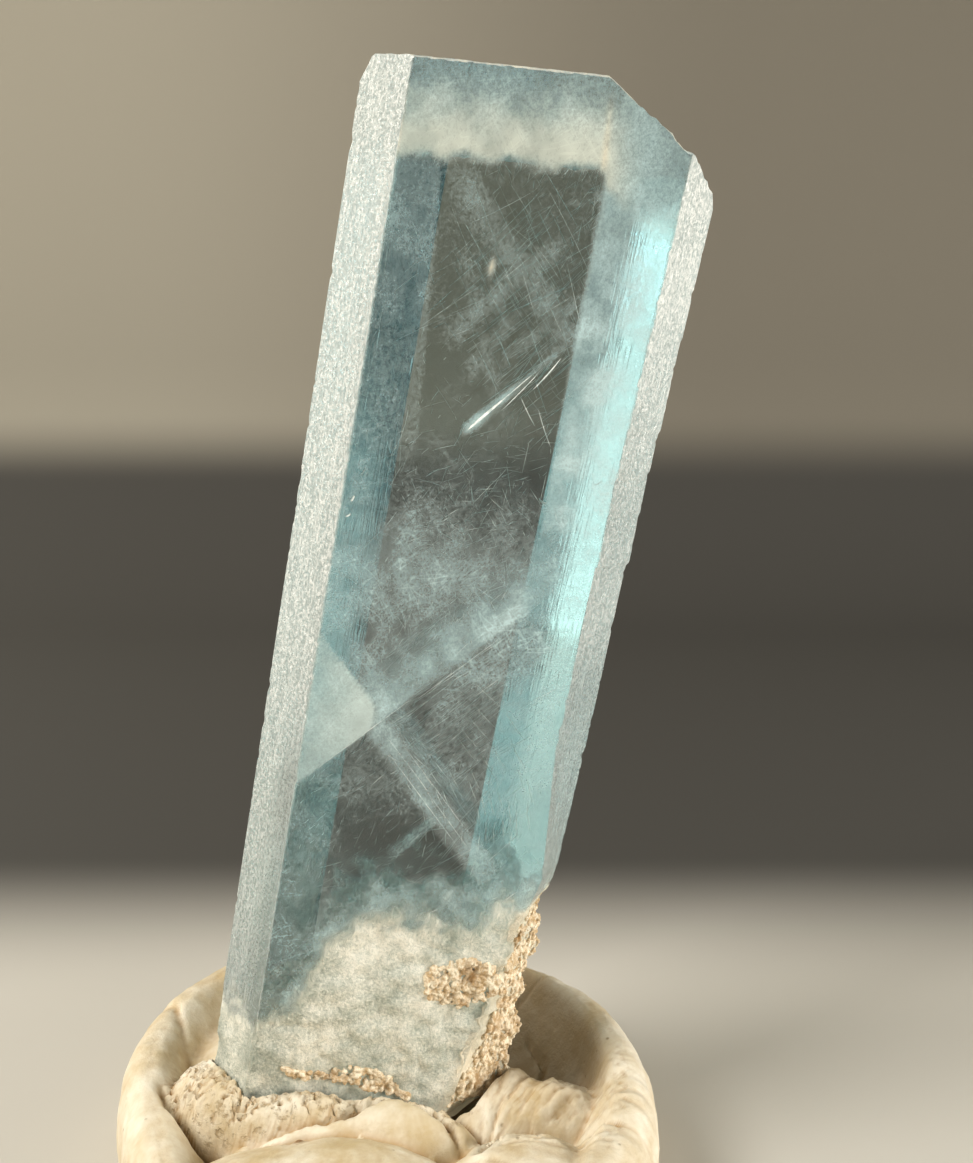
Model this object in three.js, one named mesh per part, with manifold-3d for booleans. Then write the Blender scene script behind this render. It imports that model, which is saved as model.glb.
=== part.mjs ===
// A bladed barite crystal standing in a lump of cream display putty.
// Millimetres, +Z up, the viewer looks along +Y. The origin is under the middle of the specimen.
import * as THREE from 'three';
import { mergeVertices } from 'three/addons/utils/BufferGeometryUtils.js';
import Module from 'manifold-3d';

const wasm = await Module();
wasm.setup();

// ---------------------------------------------------------------- driving dimensions
// The blade: a six-sided prism, its broad clear face to the front.
const thickness = 8.8;
const frontHalfWidth = 6.2;
const wideHalfWidth = 8.3;
const backHalfWidth = 3.9;
const frontBevelDepth = 2.4;
const crystalHeight = 54.2;

// The end: a facet that climbs a little from the front edge to a ridge, and a bevel that
// falls from there to the back. Both rise to the right.
const endFacetClimb = 10;
const endBevelFall = 35;
const endRise = 6.8;
const endBackHeight = 51.3;

// How the blade stands: its foot in the putty, then its turn and its two leans.
const footPlace = new THREE.Vector3(-2.21, 1.94, 4.6);
const leanToViewer = 4.9;
const leanToRight = 11.1;
const turnAboutItself = 5.2;

// The cloudy broken base.
const scarDepth = 0.45;
const breakTop = 15.6;
const footHeight = 0.2;

// The putty: a thumb-pressed dish with rolls pushed up against the crystal.
const puttyCentre = new THREE.Vector3(-0.21, 0.04, 0);
const puttyRadius = 15.1;
const rimHeight = 7.2;
const dishFloor = 3.8;
const underRadius = 12.6;

// Where hands have pushed the rim out or in: direction, spread (degrees) and reach.
const rimPushes = [[152, 30, 1.3], [50, 26, -1.1], [203, 22, -0.9], [-20, 25, 0.3]];

// Room kept between pieces that touch.
const gap = 0.3;

const degrees = THREE.MathUtils.degToRad;
const lowY = -thickness / 2;
const highY = thickness / 2;
const wideY = lowY + frontBevelDepth;

// ---------------------------------------------------------------- solids
// A closed mesh as an exact solid, for joining and cutting.
function solidOf(geometry) {
  geometry.deleteAttribute('normal');
  geometry.deleteAttribute('uv');
  const merged = mergeVertices(geometry, 1e-5);
  return new wasm.Manifold(new wasm.Mesh({
    numProp: 3,
    vertProperties: new Float32Array(merged.attributes.position.array),
    triVerts: new Uint32Array(merged.index.array),
  }));
}

function geometryOf(solid) {
  const mesh = solid.getMesh();
  const geometry = new THREE.BufferGeometry();
  geometry.setAttribute('position', new THREE.BufferAttribute(mesh.vertProperties, 3));
  geometry.setIndex(new THREE.BufferAttribute(mesh.triVerts, 1));
  return geometry;
}

// A lumpy wave of about one unit height whose lumps are a few grains across.
function lumpy(x, y, z, grain) {
  const a = Math.sin((1.9 * x + 0.7 * y - 1.1 * z) / grain);
  const b = Math.sin((-0.8 * x + 2.1 * y + 1.3 * z) / grain + 1.7);
  const c = Math.sin((1.2 * x - 1.4 * y + 2.3 * z) / grain + 4.1);
  return (a + b + c + a * b * c) / 3;
}

// Moves every point of a mesh a little, so flat faces turn broken and lumpy.
function roughen(geometry, height, grain) {
  const points = geometry.attributes.position;
  for (let i = 0; i < points.count; i += 1) {
    const x = points.getX(i);
    const y = points.getY(i);
    const z = points.getZ(i);
    points.setXYZ(
      i,
      x + height * lumpy(y, z, x, grain),
      y + height * lumpy(z, x, y, grain),
      z + height * lumpy(x, y, z, grain),
    );
  }
  return geometry;
}

// A block that lies on a plane through three points and reaches away from the crystal's middle.
function blockOnPlane(corner, along, across, size, reach, cell, height) {
  const side = Math.max(1, Math.round(size / cell));
  const xAxis = along.clone().sub(corner).normalize();
  const outward = xAxis.clone().cross(across.clone().sub(corner)).normalize();
  const middle = new THREE.Vector3(0, 0, crystalHeight / 2);
  if (outward.dot(middle.clone().sub(corner)) > 0) {
    outward.negate();
  }
  const yAxis = outward.clone().cross(xAxis);
  const centre = corner.clone().add(along).add(across).divideScalar(3);
  const block = new THREE.BoxGeometry(size, size, reach, side, side, 1);
  block.translate(0, 0, reach / 2);
  block.applyMatrix4(new THREE.Matrix4().makeBasis(xAxis, yAxis, outward).setPosition(centre));
  return solidOf(roughen(block, height, cell * 1.6));
}

// A crumb or lobe: a sphere stretched to three half-sizes, turned about Z and roughened.
function lump(place, halfSizes, turn, detail, height, grain) {
  const ball = new THREE.SphereGeometry(1, detail, Math.round(detail * 0.6));
  ball.rotateX(Math.PI / 2);
  ball.scale(halfSizes[0], halfSizes[1], halfSizes[2]);
  ball.rotateZ(degrees(turn));
  ball.translate(place[0], place[1], place[2]);
  return solidOf(roughen(ball, height, grain));
}

function joined(solids) {
  return solids.reduce((whole, next) => whole.add(next));
}

// The six-sided outline across the blade, grown outward by a margin.
function bladeOutline(margin) {
  const front = frontHalfWidth + 0.6 * margin;
  const wide = wideHalfWidth + 1.25 * margin;
  const back = backHalfWidth + 0.6 * margin;
  return new THREE.Shape([
    new THREE.Vector2(-front, lowY - margin),
    new THREE.Vector2(front, lowY - margin),
    new THREE.Vector2(wide, wideY),
    new THREE.Vector2(back, highY + margin),
    new THREE.Vector2(-back, highY + margin),
    new THREE.Vector2(-wide, wideY),
  ]);
}

function blade(margin, bottom, top) {
  const prism = new THREE.ExtrudeGeometry(bladeOutline(margin), { depth: top - bottom, bevelEnabled: false });
  prism.translate(0, 0, bottom);
  return solidOf(prism);
}

const point = (x, y, z) => new THREE.Vector3(x, y, z);

// ---------------------------------------------------------------- tan crust on the crystal
// Each crust is a run of crumbs; a margin grows them to cut the room that they sit in.
function crust(crumbs, margin, height, grain) {
  return joined(crumbs.map(([x, y, z, rx, ry, rz, turn]) => (
    lump([x, y, z], [rx + margin, ry + margin, rz + margin], turn, 10, height, grain)
  )));
}

const crumbHeight = 0.16;
const crumbGrain = 0.5;

const patchCrumbs = [
  [3.3, lowY, 10.9, 1.2, 0.8, 1.0, 0],
  [4.4, lowY, 10.4, 1.3, 0.9, 1.2, 10],
  [5.4, lowY, 10.9, 0.9, 0.7, 0.9, 30],
  [5.5, lowY + 0.1, 9.2, 0.9, 0.7, 1.3, 20],
];

const edgeCrumbs = [
  [7.5, -3.1, 14.2, 0.6, 1.1, 1.2, 40],
  [7.2, -3.3, 12.6, 0.6, 1.3, 1.3, 46],
  [7.3, -3.2, 10.8, 0.7, 1.2, 1.5, 34],
  [6.9, -3.5, 9.0, 0.7, 1.5, 1.4, 42],
  [6.9, -3.4, 7.2, 0.8, 1.4, 1.5, 36],
  [6.6, -3.5, 5.5, 0.8, 1.6, 1.4, 30],
];

const footCrumbs = [
  [-3.5, lowY, 3.1, 0.9, 0.6, 0.5, 0],
  [-2.2, lowY + 0.1, 3.0, 1.1, 0.7, 0.5, 0],
  [-0.5, lowY, 3.2, 1.2, 0.7, 0.7, 12],
  [1.1, lowY + 0.1, 3.5, 1.3, 0.7, 0.8, -10],
];

// ---------------------------------------------------------------- the barite crystal
function crystalSolid() {
  let crystal = blade(0, footHeight, crystalHeight + 8);

  // The end facet, a clean plane through the front top edge, and the bevel behind its ridge.
  const rise = Math.tan(degrees(endRise));
  const climb = thickness * Math.tan(degrees(endFacetClimb));
  crystal = crystal.subtract(blockOnPlane(
    point(0, lowY, crystalHeight), point(5, lowY, crystalHeight + 5 * rise),
    point(0, highY, crystalHeight + climb), 40, 20, 40, 0));
  const fall = thickness * Math.tan(degrees(endBevelFall));
  crystal = crystal.subtract(blockOnPlane(
    point(0, highY, endBackHeight), point(5, highY, endBackHeight + 5 * rise),
    point(0, lowY, endBackHeight + fall), 40, 20, 40, 0));

  // The small facet at the top left, and the broken corner at the top right.
  crystal = crystal.subtract(blockOnPlane(
    point(-wideHalfWidth, wideY, 52.5), point(-7.6, wideY, 54.0), point(-7.4, highY, 52.5), 12, 6, 12, 0));
  crystal = crystal.subtract(blockOnPlane(
    point(3.2, lowY, 54.2), point(8.2, wideY, 51.2), point(3.9, 2.0, 51.9), 14, 6, 1.6, 0.22));
  crystal = crystal.subtract(lump([4.2, lowY - 0.6, 55.6], [1.9, 1.6, 2.1], 0, 14, 0.1, 1.1));
  crystal = crystal.subtract(lump([6.4, lowY - 0.4, 54.2], [1.6, 1.7, 2.0], 0, 14, 0.1, 1.1));
  crystal = crystal.subtract(lump([8.9, wideY - 0.2, 52.2], [1.1, 2.2, 1.5], 0, 14, 0.1, 1.1));

  // Growth steps: narrow ledges that end part of the way up the right bevel.
  const ledges = [[33.6, 0.22], [39.5, 0.16], [27.5, 0.2]];
  for (const [height, depth] of ledges) {
    crystal = crystal.subtract(blockOnPlane(
      point(frontHalfWidth + 0.4 * depth, lowY, height), point(frontHalfWidth + 0.4 * depth, lowY, height - 6),
      point(wideHalfWidth - depth, wideY, height - 3), 5.4, 3, 6, 0));
  }

  // The front of the base is a shallow broken scar, its top edge higher on the right.
  crystal = crystal.subtract(blockOnPlane(
    point(-3.6, lowY + scarDepth, 3), point(4.6, lowY + scarDepth, 3),
    point(1.2, lowY + scarDepth - 0.1, 20), 20, 4, 1.15, 0.34).intersect(lump(
    [3.2, lowY, 2], [10.5, 4, 13.4], 0, 22, 0.5, 2.2)));

  // Low on the right the bevel is broken back into a rough slope.
  crystal = crystal.subtract(blockOnPlane(
    point(6.9, lowY, breakTop), point(5.0, lowY, 3), point(8.2, wideY, 4), 22, 5, 1.2, 0.3)
    .intersect(blade(4, -4, breakTop)));

  // The broken underside.
  crystal = crystal.subtract(blockOnPlane(
    point(-8, 0, 1.0), point(7, 0, 0.5), point(0, 4, 1.3), 26, 5, 1.3, 0.35));

  // Room for the crust.
  crystal = crystal.subtract(crust(patchCrumbs, gap, crumbHeight, crumbGrain));
  crystal = crystal.subtract(crust(edgeCrumbs, gap, crumbHeight, crumbGrain));
  return crystal.subtract(crust(footCrumbs, gap, crumbHeight, crumbGrain));
}

// ---------------------------------------------------------------- the putty
// The dish: a flat underside, a bulging side, a rounded rim and a pressed floor.
function dish() {
  const profile = new THREE.SplineCurve([
    new THREE.Vector2(underRadius, 0),
    new THREE.Vector2(puttyRadius - 0.9, 1.2),
    new THREE.Vector2(puttyRadius, 3.4),
    new THREE.Vector2(puttyRadius - 0.4, 5.6),
    new THREE.Vector2(puttyRadius - 1.7, rimHeight),
    new THREE.Vector2(puttyRadius - 3.0, rimHeight - 1.2),
    new THREE.Vector2(puttyRadius - 3.9, dishFloor + 0.8),
    new THREE.Vector2(puttyRadius - 6.0, dishFloor),
  ]).getPoints(13);
  profile.unshift(new THREE.Vector2(0, 0));
  profile.push(new THREE.Vector2(0, dishFloor));
  const turned = new THREE.LatheGeometry(profile, 44);
  turned.rotateX(Math.PI / 2);

  // Pressed by hand, so the round is uneven; the flat underside stays flat.
  const points = turned.attributes.position;
  for (let i = 0; i < points.count; i += 1) {
    const x = points.getX(i);
    const y = points.getY(i);
    const z = points.getZ(i);
    const around = Math.atan2(y, x);
    let radius = puttyRadius;
    for (const [direction, spread, reach] of rimPushes) {
      const away = Math.abs(Math.atan2(Math.sin(around - degrees(direction)), Math.cos(around - degrees(direction))));
      radius += reach * Math.exp(-((away / degrees(spread)) ** 2));
    }
    const swell = radius / puttyRadius;
    const lift = z > 0.01 ? 0.03 * z * Math.sin(3 * around + 0.6) : 0;
    points.setXYZ(i, x * swell, y * swell, z + lift);
  }
  return solidOf(turned);
}

function puttySolid(crystalPlace) {
  const lobes = [
    // The mound that the foot is pressed down into.
    lump([-3.6, 2.6, 3.0], [9.2, 6.6, 4.4], 0, 22, 0.12, 2.2),
    // The creased roll pressed against the front of the crystal, higher on the left.
    lump([-8.7, -2.0, 4.7], [3.7, 2.4, 3.5], -24, 18, 0.1, 1.4),
    lump([-4.6, -3.6, 4.4], [5.2, 2.1, 3.2], -6, 18, 0.1, 1.4),
    lump([0.2, -3.9, 3.7], [4.4, 2.0, 2.8], -4, 18, 0.1, 1.4),
    // The smooth front lobe.
    lump([-2.9, -8.8, 3.7], [9.2, 4.6, 3.9], 2, 24, 0.12, 2.5),
    // The wrinkled lobe that runs from the foot to the right rim, and the fold below it.
    lump([8.6, -1.0, 3.1], [5.8, 3.0, 3.6], 14, 20, 0.12, 1.6),
    lump([8.0, -7.4, 3.2], [5.2, 4.2, 3.9], -20, 20, 0.12, 2.5),
  ];
  let putty = dish().add(joined(lobes));
  const ground = new THREE.BoxGeometry(60, 60, 20);
  ground.translate(0, 0, -10);
  putty = putty.subtract(solidOf(ground));
  putty = putty.translate([puttyCentre.x, puttyCentre.y, puttyCentre.z]);

  // The pocket that the crystal's foot and its crust are pressed into.
  const pocket = joined([
    blade(gap + 0.1, footHeight - 0.1, 20),
    crust(edgeCrumbs, 2 * gap, crumbHeight, crumbGrain),
    crust(footCrumbs, 2 * gap, crumbHeight, crumbGrain),
  ]);
  const placed = geometryOf(pocket).applyMatrix4(crystalPlace);
  return putty.subtract(solidOf(placed));
}

// ---------------------------------------------------------------- the specimen
const barite = new THREE.MeshStandardMaterial({ color: 0xa9c9c6, roughness: 0.15, metalness: 0 });
const tanCrust = () => new THREE.MeshStandardMaterial({ color: 0xd9bf92, roughness: 0.95, metalness: 0 });
const creamPutty = new THREE.MeshStandardMaterial({ color: 0xefe2c2, roughness: 0.7, metalness: 0 });

function piece(name, solid, material) {
  const mesh = new THREE.Mesh(geometryOf(solid), material);
  mesh.name = name;
  return mesh;
}

const stood = new THREE.Group();
stood.position.copy(footPlace);
stood.rotation.set(degrees(leanToViewer), degrees(leanToRight), degrees(turnAboutItself));
stood.add(piece('crystal', crystalSolid(), barite));
stood.add(piece('matrix_patch', crust(patchCrumbs, 0, crumbHeight, crumbGrain), tanCrust()));
stood.add(piece('matrix_edge', crust(edgeCrumbs, 0, crumbHeight, crumbGrain), tanCrust()));
stood.add(piece('matrix_foot', crust(footCrumbs, 0, crumbHeight, crumbGrain), tanCrust()));
stood.updateMatrix();

const group = new THREE.Group();
group.add(stood);
group.add(piece('putty', puttySolid(stood.matrix), creamPutty));

export default group;
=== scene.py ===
# A blade of clear, pale blue barite standing tilted in a lump of cream display putty.
import math

import bmesh
import bpy
import numpy as np
from mathutils import Matrix, Vector, noise


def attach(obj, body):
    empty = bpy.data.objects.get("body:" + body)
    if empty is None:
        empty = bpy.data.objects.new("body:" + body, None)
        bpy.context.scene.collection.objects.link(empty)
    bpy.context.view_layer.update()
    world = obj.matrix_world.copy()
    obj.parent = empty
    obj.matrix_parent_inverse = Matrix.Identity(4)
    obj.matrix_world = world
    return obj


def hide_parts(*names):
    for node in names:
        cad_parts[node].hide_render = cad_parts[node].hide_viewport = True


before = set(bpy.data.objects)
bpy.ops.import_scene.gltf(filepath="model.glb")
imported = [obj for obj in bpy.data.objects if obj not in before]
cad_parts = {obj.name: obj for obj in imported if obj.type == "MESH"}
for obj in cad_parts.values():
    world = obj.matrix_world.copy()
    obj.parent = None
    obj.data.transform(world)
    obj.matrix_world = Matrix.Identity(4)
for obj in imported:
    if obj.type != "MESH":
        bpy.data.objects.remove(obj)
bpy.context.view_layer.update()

# ---------------------------------------------------------------- camera
# A hand-held close-up from 50 mm away, above the middle of the blade and looking slightly down on
# the putty. The picture height and the focal length, both in pixels, give its angle of view.
MM = 0.001
eye = Vector((5.44, -50.26, 42.6)) * MM
looks_down = math.radians(9.1)
picture_height_px, focal_px = 1163, 975

lens = bpy.data.cameras.new("camera")
lens.sensor_width = 36
lens.lens = lens.sensor_width * focal_px / picture_height_px
lens.clip_start = 0.001
camera = bpy.data.objects.new("camera", lens)
camera.location = eye
camera.rotation_euler = (math.pi / 2 - looks_down, 0, 0)
bpy.context.scene.collection.objects.link(camera)
bpy.context.scene.camera = camera
bpy.context.scene.view_settings.view_transform = "Standard"

# Light crosses the clear blade, and everything inside it, several times before it reaches the eye.
light_paths = bpy.context.scene.cycles
light_paths.max_bounces = 7
light_paths.diffuse_bounces = 2
light_paths.glossy_bounces = 3
light_paths.transmission_bounces = 7

# ---------------------------------------------------------------- the blade
# One crystal of barite: a six-sided prism, broad clear faces front and back, grown free except at
# its base, where it was broken from the rock and is cloudy. Nothing holds it but the putty.
thickness, front_half, wide_half, back_half, bevel_depth = 8.8, 6.2, 8.3, 3.9, 2.4
low_y, high_y = -thickness / 2, thickness / 2
wide_y = low_y + bevel_depth
blade_height = 54.2
stand = (
    Matrix.Translation(Vector((-2.21, 1.94, 4.6)) * MM)
    @ Matrix.Rotation(math.radians(4.9), 4, "X")
    @ Matrix.Rotation(math.radians(11.1), 4, "Y")
    @ Matrix.Rotation(math.radians(5.2), 4, "Z")
)


def smooth(low, high, value):
    """Eases from 0 at low to 1 at high; low may be the larger of the two."""
    t = np.clip((value - low) / (high - low), 0, 1)
    return t * t * (3 - 2 * t)


def grainy(points, grain, octaves=4, seed=0.0):
    """Fractal noise of about one unit either way, in lumps of the given size in millimetres."""
    shift = Vector((seed, -seed, 0.7 * seed))
    return np.array([
        noise.fractal(Vector(p) / grain + shift, 1.0, 2.1, octaves) for p in points.reshape(-1, 3)
    ]).reshape(points.shape[:-1])


def plane_height(a, b, c, x, y):
    """Height above (x, y) of the plane through three points."""
    normal = (Vector(b) - Vector(a)).cross(Vector(c) - Vector(a))
    return a[2] - (normal.x * (x - a[0]) + normal.y * (y - a[1])) / normal.z


def scooped(height, x, y, centre, radii):
    """Lowers a height where a round bite reaches into it."""
    left = 1 - ((x - centre[0]) / radii[0]) ** 2 - ((y - centre[1]) / radii[1]) ** 2
    bite = centre[2] - radii[2] * np.sqrt(np.clip(left, 0, 1))
    return np.where(left > 0, np.minimum(height, bite), height)


def end_height(x, y):
    """The chisel end: a facet and a bevel meeting in a ridge, and a corner broken off in steps."""
    rise = math.tan(math.radians(6.8)) * x
    height = blade_height + rise + (y - low_y) * math.tan(math.radians(10))
    height = np.minimum(height, 51.3 + rise + (high_y - y) * math.tan(math.radians(35)))
    left_facet = plane_height((-8.3, wide_y, 52.5), (-7.6, wide_y, 54.0), (-7.4, high_y, 52.5), x, y)
    height = np.minimum(height, left_facet)
    for a, b, c in (
        ((3.3, low_y, 54.35), (8.3, wide_y, 51.7), (3.9, 2.0, 52.3)),
        ((4.3, low_y, 53.25), (8.4, wide_y, 51.0), (6.5, 2.0, 51.8)),
        ((7.55, wide_y, 52.2), (8.5, wide_y, 50.2), (6.9, 2.5, 51.0)),
    ):
        height = np.minimum(height, plane_height(a, b, c, x, y))
    height = scooped(height, x, y, (5.3, low_y - 1.2, 56.6), (2.4, 2.6, 3.9))
    return scooped(height, x, y, (7.4, wide_y - 1.6, 55.2), (2.2, 2.6, 3.0))


def surface_grid(columns, rows, levels):
    """Vertex numbers and quads of a closed box of columns x rows x levels, each quad with its side."""
    shape = (columns + 1, rows + 1, levels + 1)
    i, j, k = np.indices(shape)
    outside = (i == 0) | (i == columns) | (j == 0) | (j == rows) | (k == 0) | (k == levels)
    number = -np.ones(shape, int)
    number[outside] = np.arange(outside.sum())
    quads, sides = [], []
    for side, sheet, flip in (
        ("front", number[:, 0, :], False), ("back", number[:, -1, :], True),
        ("left", number[0, :, :], True), ("right", number[-1, :, :], False),
        ("foot", number[:, :, 0], True), ("end", number[:, :, -1], False),
    ):
        corners = [sheet[:-1, :-1], sheet[1:, :-1], sheet[1:, 1:], sheet[:-1, 1:]]
        if flip:
            corners.reverse()
        quads.append(np.stack([c.ravel() for c in corners], 1))
        sides += [side] * quads[-1].shape[0]
    return outside, np.concatenate(quads), np.array(sides)


# The prism as a grid wrapped round it, finest up the lumpy base and at the broken end.
bevel_rows, back_rows, blade_columns = 16, 22, 96
rows_y = np.concatenate([
    np.linspace(low_y, wide_y, bevel_rows + 1), np.linspace(wide_y, high_y, back_rows + 1)[1:]
])
levels = np.concatenate([
    np.linspace(0, 17, 96), np.linspace(17, 50, 161)[1:], np.linspace(50, 54, 21)[1:]
]) / 54
outside, quads, sides = surface_grid(blade_columns, len(rows_y) - 1, len(levels) - 1)
u, y, t = np.meshgrid(np.linspace(-1, 1, blade_columns + 1), rows_y, levels, indexing="ij")
u, y, t = u[outside], y[outside], t[outside]
half = np.interp(y, [low_y, wide_y, high_y], [front_half, wide_half, back_half])
x = u * half
foot = 0.9 + 0.12 * x + 0.3 * np.sin(0.9 * x + 1.0) + 0.2 * np.sin(1.7 * y)
z = foot + t * (end_height(x, y) - foot)

# Low on the right the front bevel narrows and then breaks away.
right_front = np.interp(z, [0, 3, 15.4, 17, 24], [4.5, 5.0, 6.7, 7.0, front_half])
right_half = np.interp(y, [low_y, wide_y, high_y], [0, 1, 1]) * (wide_half - right_front) + right_front
x = np.where((u > 0) & (y <= wide_y), u * right_half, x)

points = np.stack([x, y, z], 1)
on_front, on_back = y == low_y, y == high_y
on_left, on_right = u == -1, u == 1
on_bevel = (on_left | on_right) & (y < wide_y) & ~on_front
on_end = t == 1

# The base: a shallow scar whose edge climbs to the right, softly lumpy on every side.
scar_x = [-8.3, -5.2, -4.2, -3.3, -1.5, 0.2, 3.4, 5.5, 8.3]
scar_z = [6.2, 7.2, 8.6, 11.8, 13.2, 14.2, 13.8, 15.2, 15.8]
coarse = grainy(points, 2.6, 3, 3.0)
fine = grainy(points, 0.8, 4, 9.0)
edge_wobble = grainy(points, 1.0, 5, 5.0)
above_scar = z - np.interp(x, scar_x, scar_z) - 1.1 * edge_wobble
above_scar = above_scar - 1.8 * coarse * smooth(wide_y, high_y, y)
base = smooth(1.0, -2.4, above_scar)
clouded = smooth(1.3, -1.0, above_scar + 0.5 * fine)
out_x = np.sign(u) * np.where(on_left | on_right, 1, 0)
inward = 0.16 + 0.22 * coarse + 0.12 * fine
push_y = np.where(on_front, 1, 0) - np.where(on_back, 1, 0)
points[:, 1] += base * push_y * np.clip(inward, -0.03, 1.0)
points[:, 0] -= base * out_x * np.clip(0.7 * inward, -0.03, 0.8)
break_line = np.interp(z, [3.0, 5.7, 9.0, 11.8, 15.5], [4.9, 5.5, 6.2, 6.2, 6.8])
past_break = x - break_line + 0.5 * edge_wobble
broken_edge = smooth(16.2, 14.6, z) * smooth(-0.9, 0.2, past_break) * (y < wide_y + 0.3)
bitten = 0.3 + 0.5 * grainy(points, 1.6, 4, 21.0) + 0.2 * fine
points[:, 0] -= broken_edge * np.where(on_right, bitten, 0).clip(-0.08, 1.1)
points[:, 2] += np.where(t == 0, 0.4 * coarse, 0)

# Growth ledges on the right bevel, long low terraces that end in a step: height, length and depth.
ledges = ((33.6, 9, 0.13), (36.2, 3.2, 0.05), (38.0, 4.0, 0.06), (40.2, 5.0, 0.07), (44.5, 4.0, 0.05))
for step_z, length, depth in ledges:
    terrace = np.where(z < step_z, smooth(step_z - length, step_z, z), 0) * depth
    points[:, 0] -= np.where(on_right & (y <= wide_y), terrace, 0)

# Fine ridges along the bevels, nicked edges, a worn rim round the end and its scaly surface.
along_bevel = smooth(low_y, low_y + 0.3, y) * smooth(wide_y, wide_y - 0.3, y)
ridges = grainy(points * np.array([1, 1, 0.09]), 0.33, 3, 1.0)
points[:, 0] += out_x * np.where(on_bevel, 0.04 * ridges * along_bevel, 0)
nicks = np.clip(grainy(points * np.array([0.2, 0.2, 1]), 0.5, 3, 13.0) - 0.25, 0, 1)
at_edge = (on_left | on_right) & (on_front | (y == wide_y))
points[:, 0] -= np.where(at_edge, np.sign(u) * 0.16 * nicks, 0)
broken_corner = smooth(2.6, 4.2, x + 0.4 * (y - low_y))
points[:, 2] += np.where(on_end, 0.16 * fine + 0.05 * grainy(points, 0.3, 2, 31.0), 0) * broken_corner
points[:, 2] += np.where(on_end, 0.025 * grainy(points, 0.5, 3, 33.0), 0)
worn_rim = 0.08 + 0.05 * np.clip(grainy(points, 0.4, 2, 17.0), -1, 1)
points[:, 2] -= np.where(on_end & on_front, worn_rim, 0)


def piece_from(name, vertices, faces, placed=None):
    """A mesh object from points in millimetres, stood where the blade stands if asked."""
    mesh = bpy.data.meshes.new(name)
    world = np.c_[np.asarray(vertices) * MM, np.ones(len(vertices))]
    if placed is not None:
        world = world @ np.array(placed).T
    mesh.from_pydata(world[:, :3].tolist(), [], [list(map(int, f)) for f in faces])
    mesh.update()
    thing = bpy.data.objects.new(name, mesh)
    bpy.context.scene.collection.objects.link(thing)
    return thing


def paint(thing, name, values):
    """Keeps one number or vector for each face corner."""
    vector = values.ndim == 2
    layer = thing.data.attributes.new(name, "FLOAT_VECTOR" if vector else "FLOAT", "CORNER")
    layer.data.foreach_set("vector" if vector else "value", values.ravel().astype(np.float32))


crystal = piece_from("barite_blade", points, quads, stand)
crystal.data.shade_smooth()
crystal.data.set_sharp_from_angle(angle=math.radians(24))
corner = quads.ravel()
side_of = np.repeat(sides, 4)
face_y = np.repeat(y[quads].mean(1), 4)
px, py, pz = points[corner].T
on_side = np.isin(side_of, ["left", "right"])
on_face = side_of == "front"

# Frosting: the left bevel keeps it to the base, a little thinner below. The right one is white under
# the end and less than half as frosted below z 27. The front face's own edges are worn dull.
left_frost = np.interp(pz, [4, 10, 20, 25, 30, 40], [0.5, 0.6, 0.72, 0.84, 0.85, 0.82])
left_frost *= np.interp(px, [-7.4, -6.6], [1, 0.7]) ** np.interp(pz, [20, 26], [1.6, 0])
right_frost = np.interp(pz, [14, 20, 27, 31, 36, 40, 46], [0.3, 0.38, 0.46, 0.72, 0.66, 0.8, 1.0])
frosted = np.where(px < 0, left_frost, right_frost) * (on_side & (face_y < wide_y))
worn_edge = on_face & (np.abs(u[corner]) == 1) & ((px < 0) | (pz > 28))
frosted = np.maximum(frosted, np.where(worn_edge, 0.8, 0))
frosted = np.maximum(frosted, np.where((side_of == "end") & (face_y < low_y + 0.2), 0.9, 0))
ragged = pz - 0.11 * px + 0.35 * edge_wobble[corner]
etched = np.where(side_of == "end", 0.45 + 0.3 * smooth(0.2, 3.6, py), 0)
etched = np.where(on_side & (face_y > wide_y), 0.75 * smooth(50.9, 51.5, ragged), etched)
cloudy = np.where(side_of == "foot", 1.0, np.maximum(clouded, broken_edge)[corner])

# Fibres under the front face crowd half way up, near the base and along both edges. A rust speck
# and the broken edge are stained, and there is a trace of cream where the end turns milky.
milky = 0.35 + 1.4 * np.exp(-((pz - 31.2) / 4.4) ** 2) + 0.7 * smooth(18, 13.5, pz)
milky += 0.35 * smooth(2.0, 4.5, np.abs(px)) * smooth(42, 34, pz) + 0.5 * smooth(47, 52, pz)
milky = np.where(on_face, milky.clip(0, 2.0), 0)
rust_speck = 0.9 * np.exp(-(((px + 1.4) / 0.13) ** 2) - ((pz - 46.0) / 0.33) ** 2)

# Milky sheets under the front face: one under the end, ragged below and thinner above; one that
# climbs to the right from a crisp lower edge; one that crosses it; a three-cornered flake.
top_line = np.interp(px, [-6.3, -2.3, 1.4, 2.6, 3.4, 4.4, 6.2], [49.7, 50.3, 51.0, 50.9, 49.9, 49.2, 48.4])
above = pz - top_line + 0.35 * edge_wobble[corner] + 0.25 * fine[corner]
creamy = smooth(-0.6, 0.2, above) * smooth(3.8, 0.2, above) * smooth(4.6, 2.4, px)
veils_and_painted_light = 0.66 * smooth(-0.7, 0.3, above) + 0.76 * creamy
off_streak = px - 2.35 + 0.1 * (pz - 52.5)
streak_up = np.exp(-((off_streak / 0.14) ** 2)) * smooth(50.3, 51.2, pz) * smooth(54.0, 53.2, pz)
veils_and_painted_light = np.maximum(veils_and_painted_light, 1.2 * streak_up)
stained = np.where(on_face, np.maximum(rust_speck, 0.5 * creamy + 0.3 * streak_up), 0)
climb, fall = math.radians(47.7), math.radians(46.1)
over = (pz - 20.7) * math.cos(climb) - (px + 5.86) * math.sin(climb)
fading = np.exp(-((over.clip(0, None) / 3.2) ** 2))
climbing = 0.96 * smooth(-0.2, 0.25, over) * fading * smooth(12.0, 2.0, px)
across = (pz - 28.0) * math.cos(fall) + (px + 5.76) * math.sin(fall)
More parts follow.
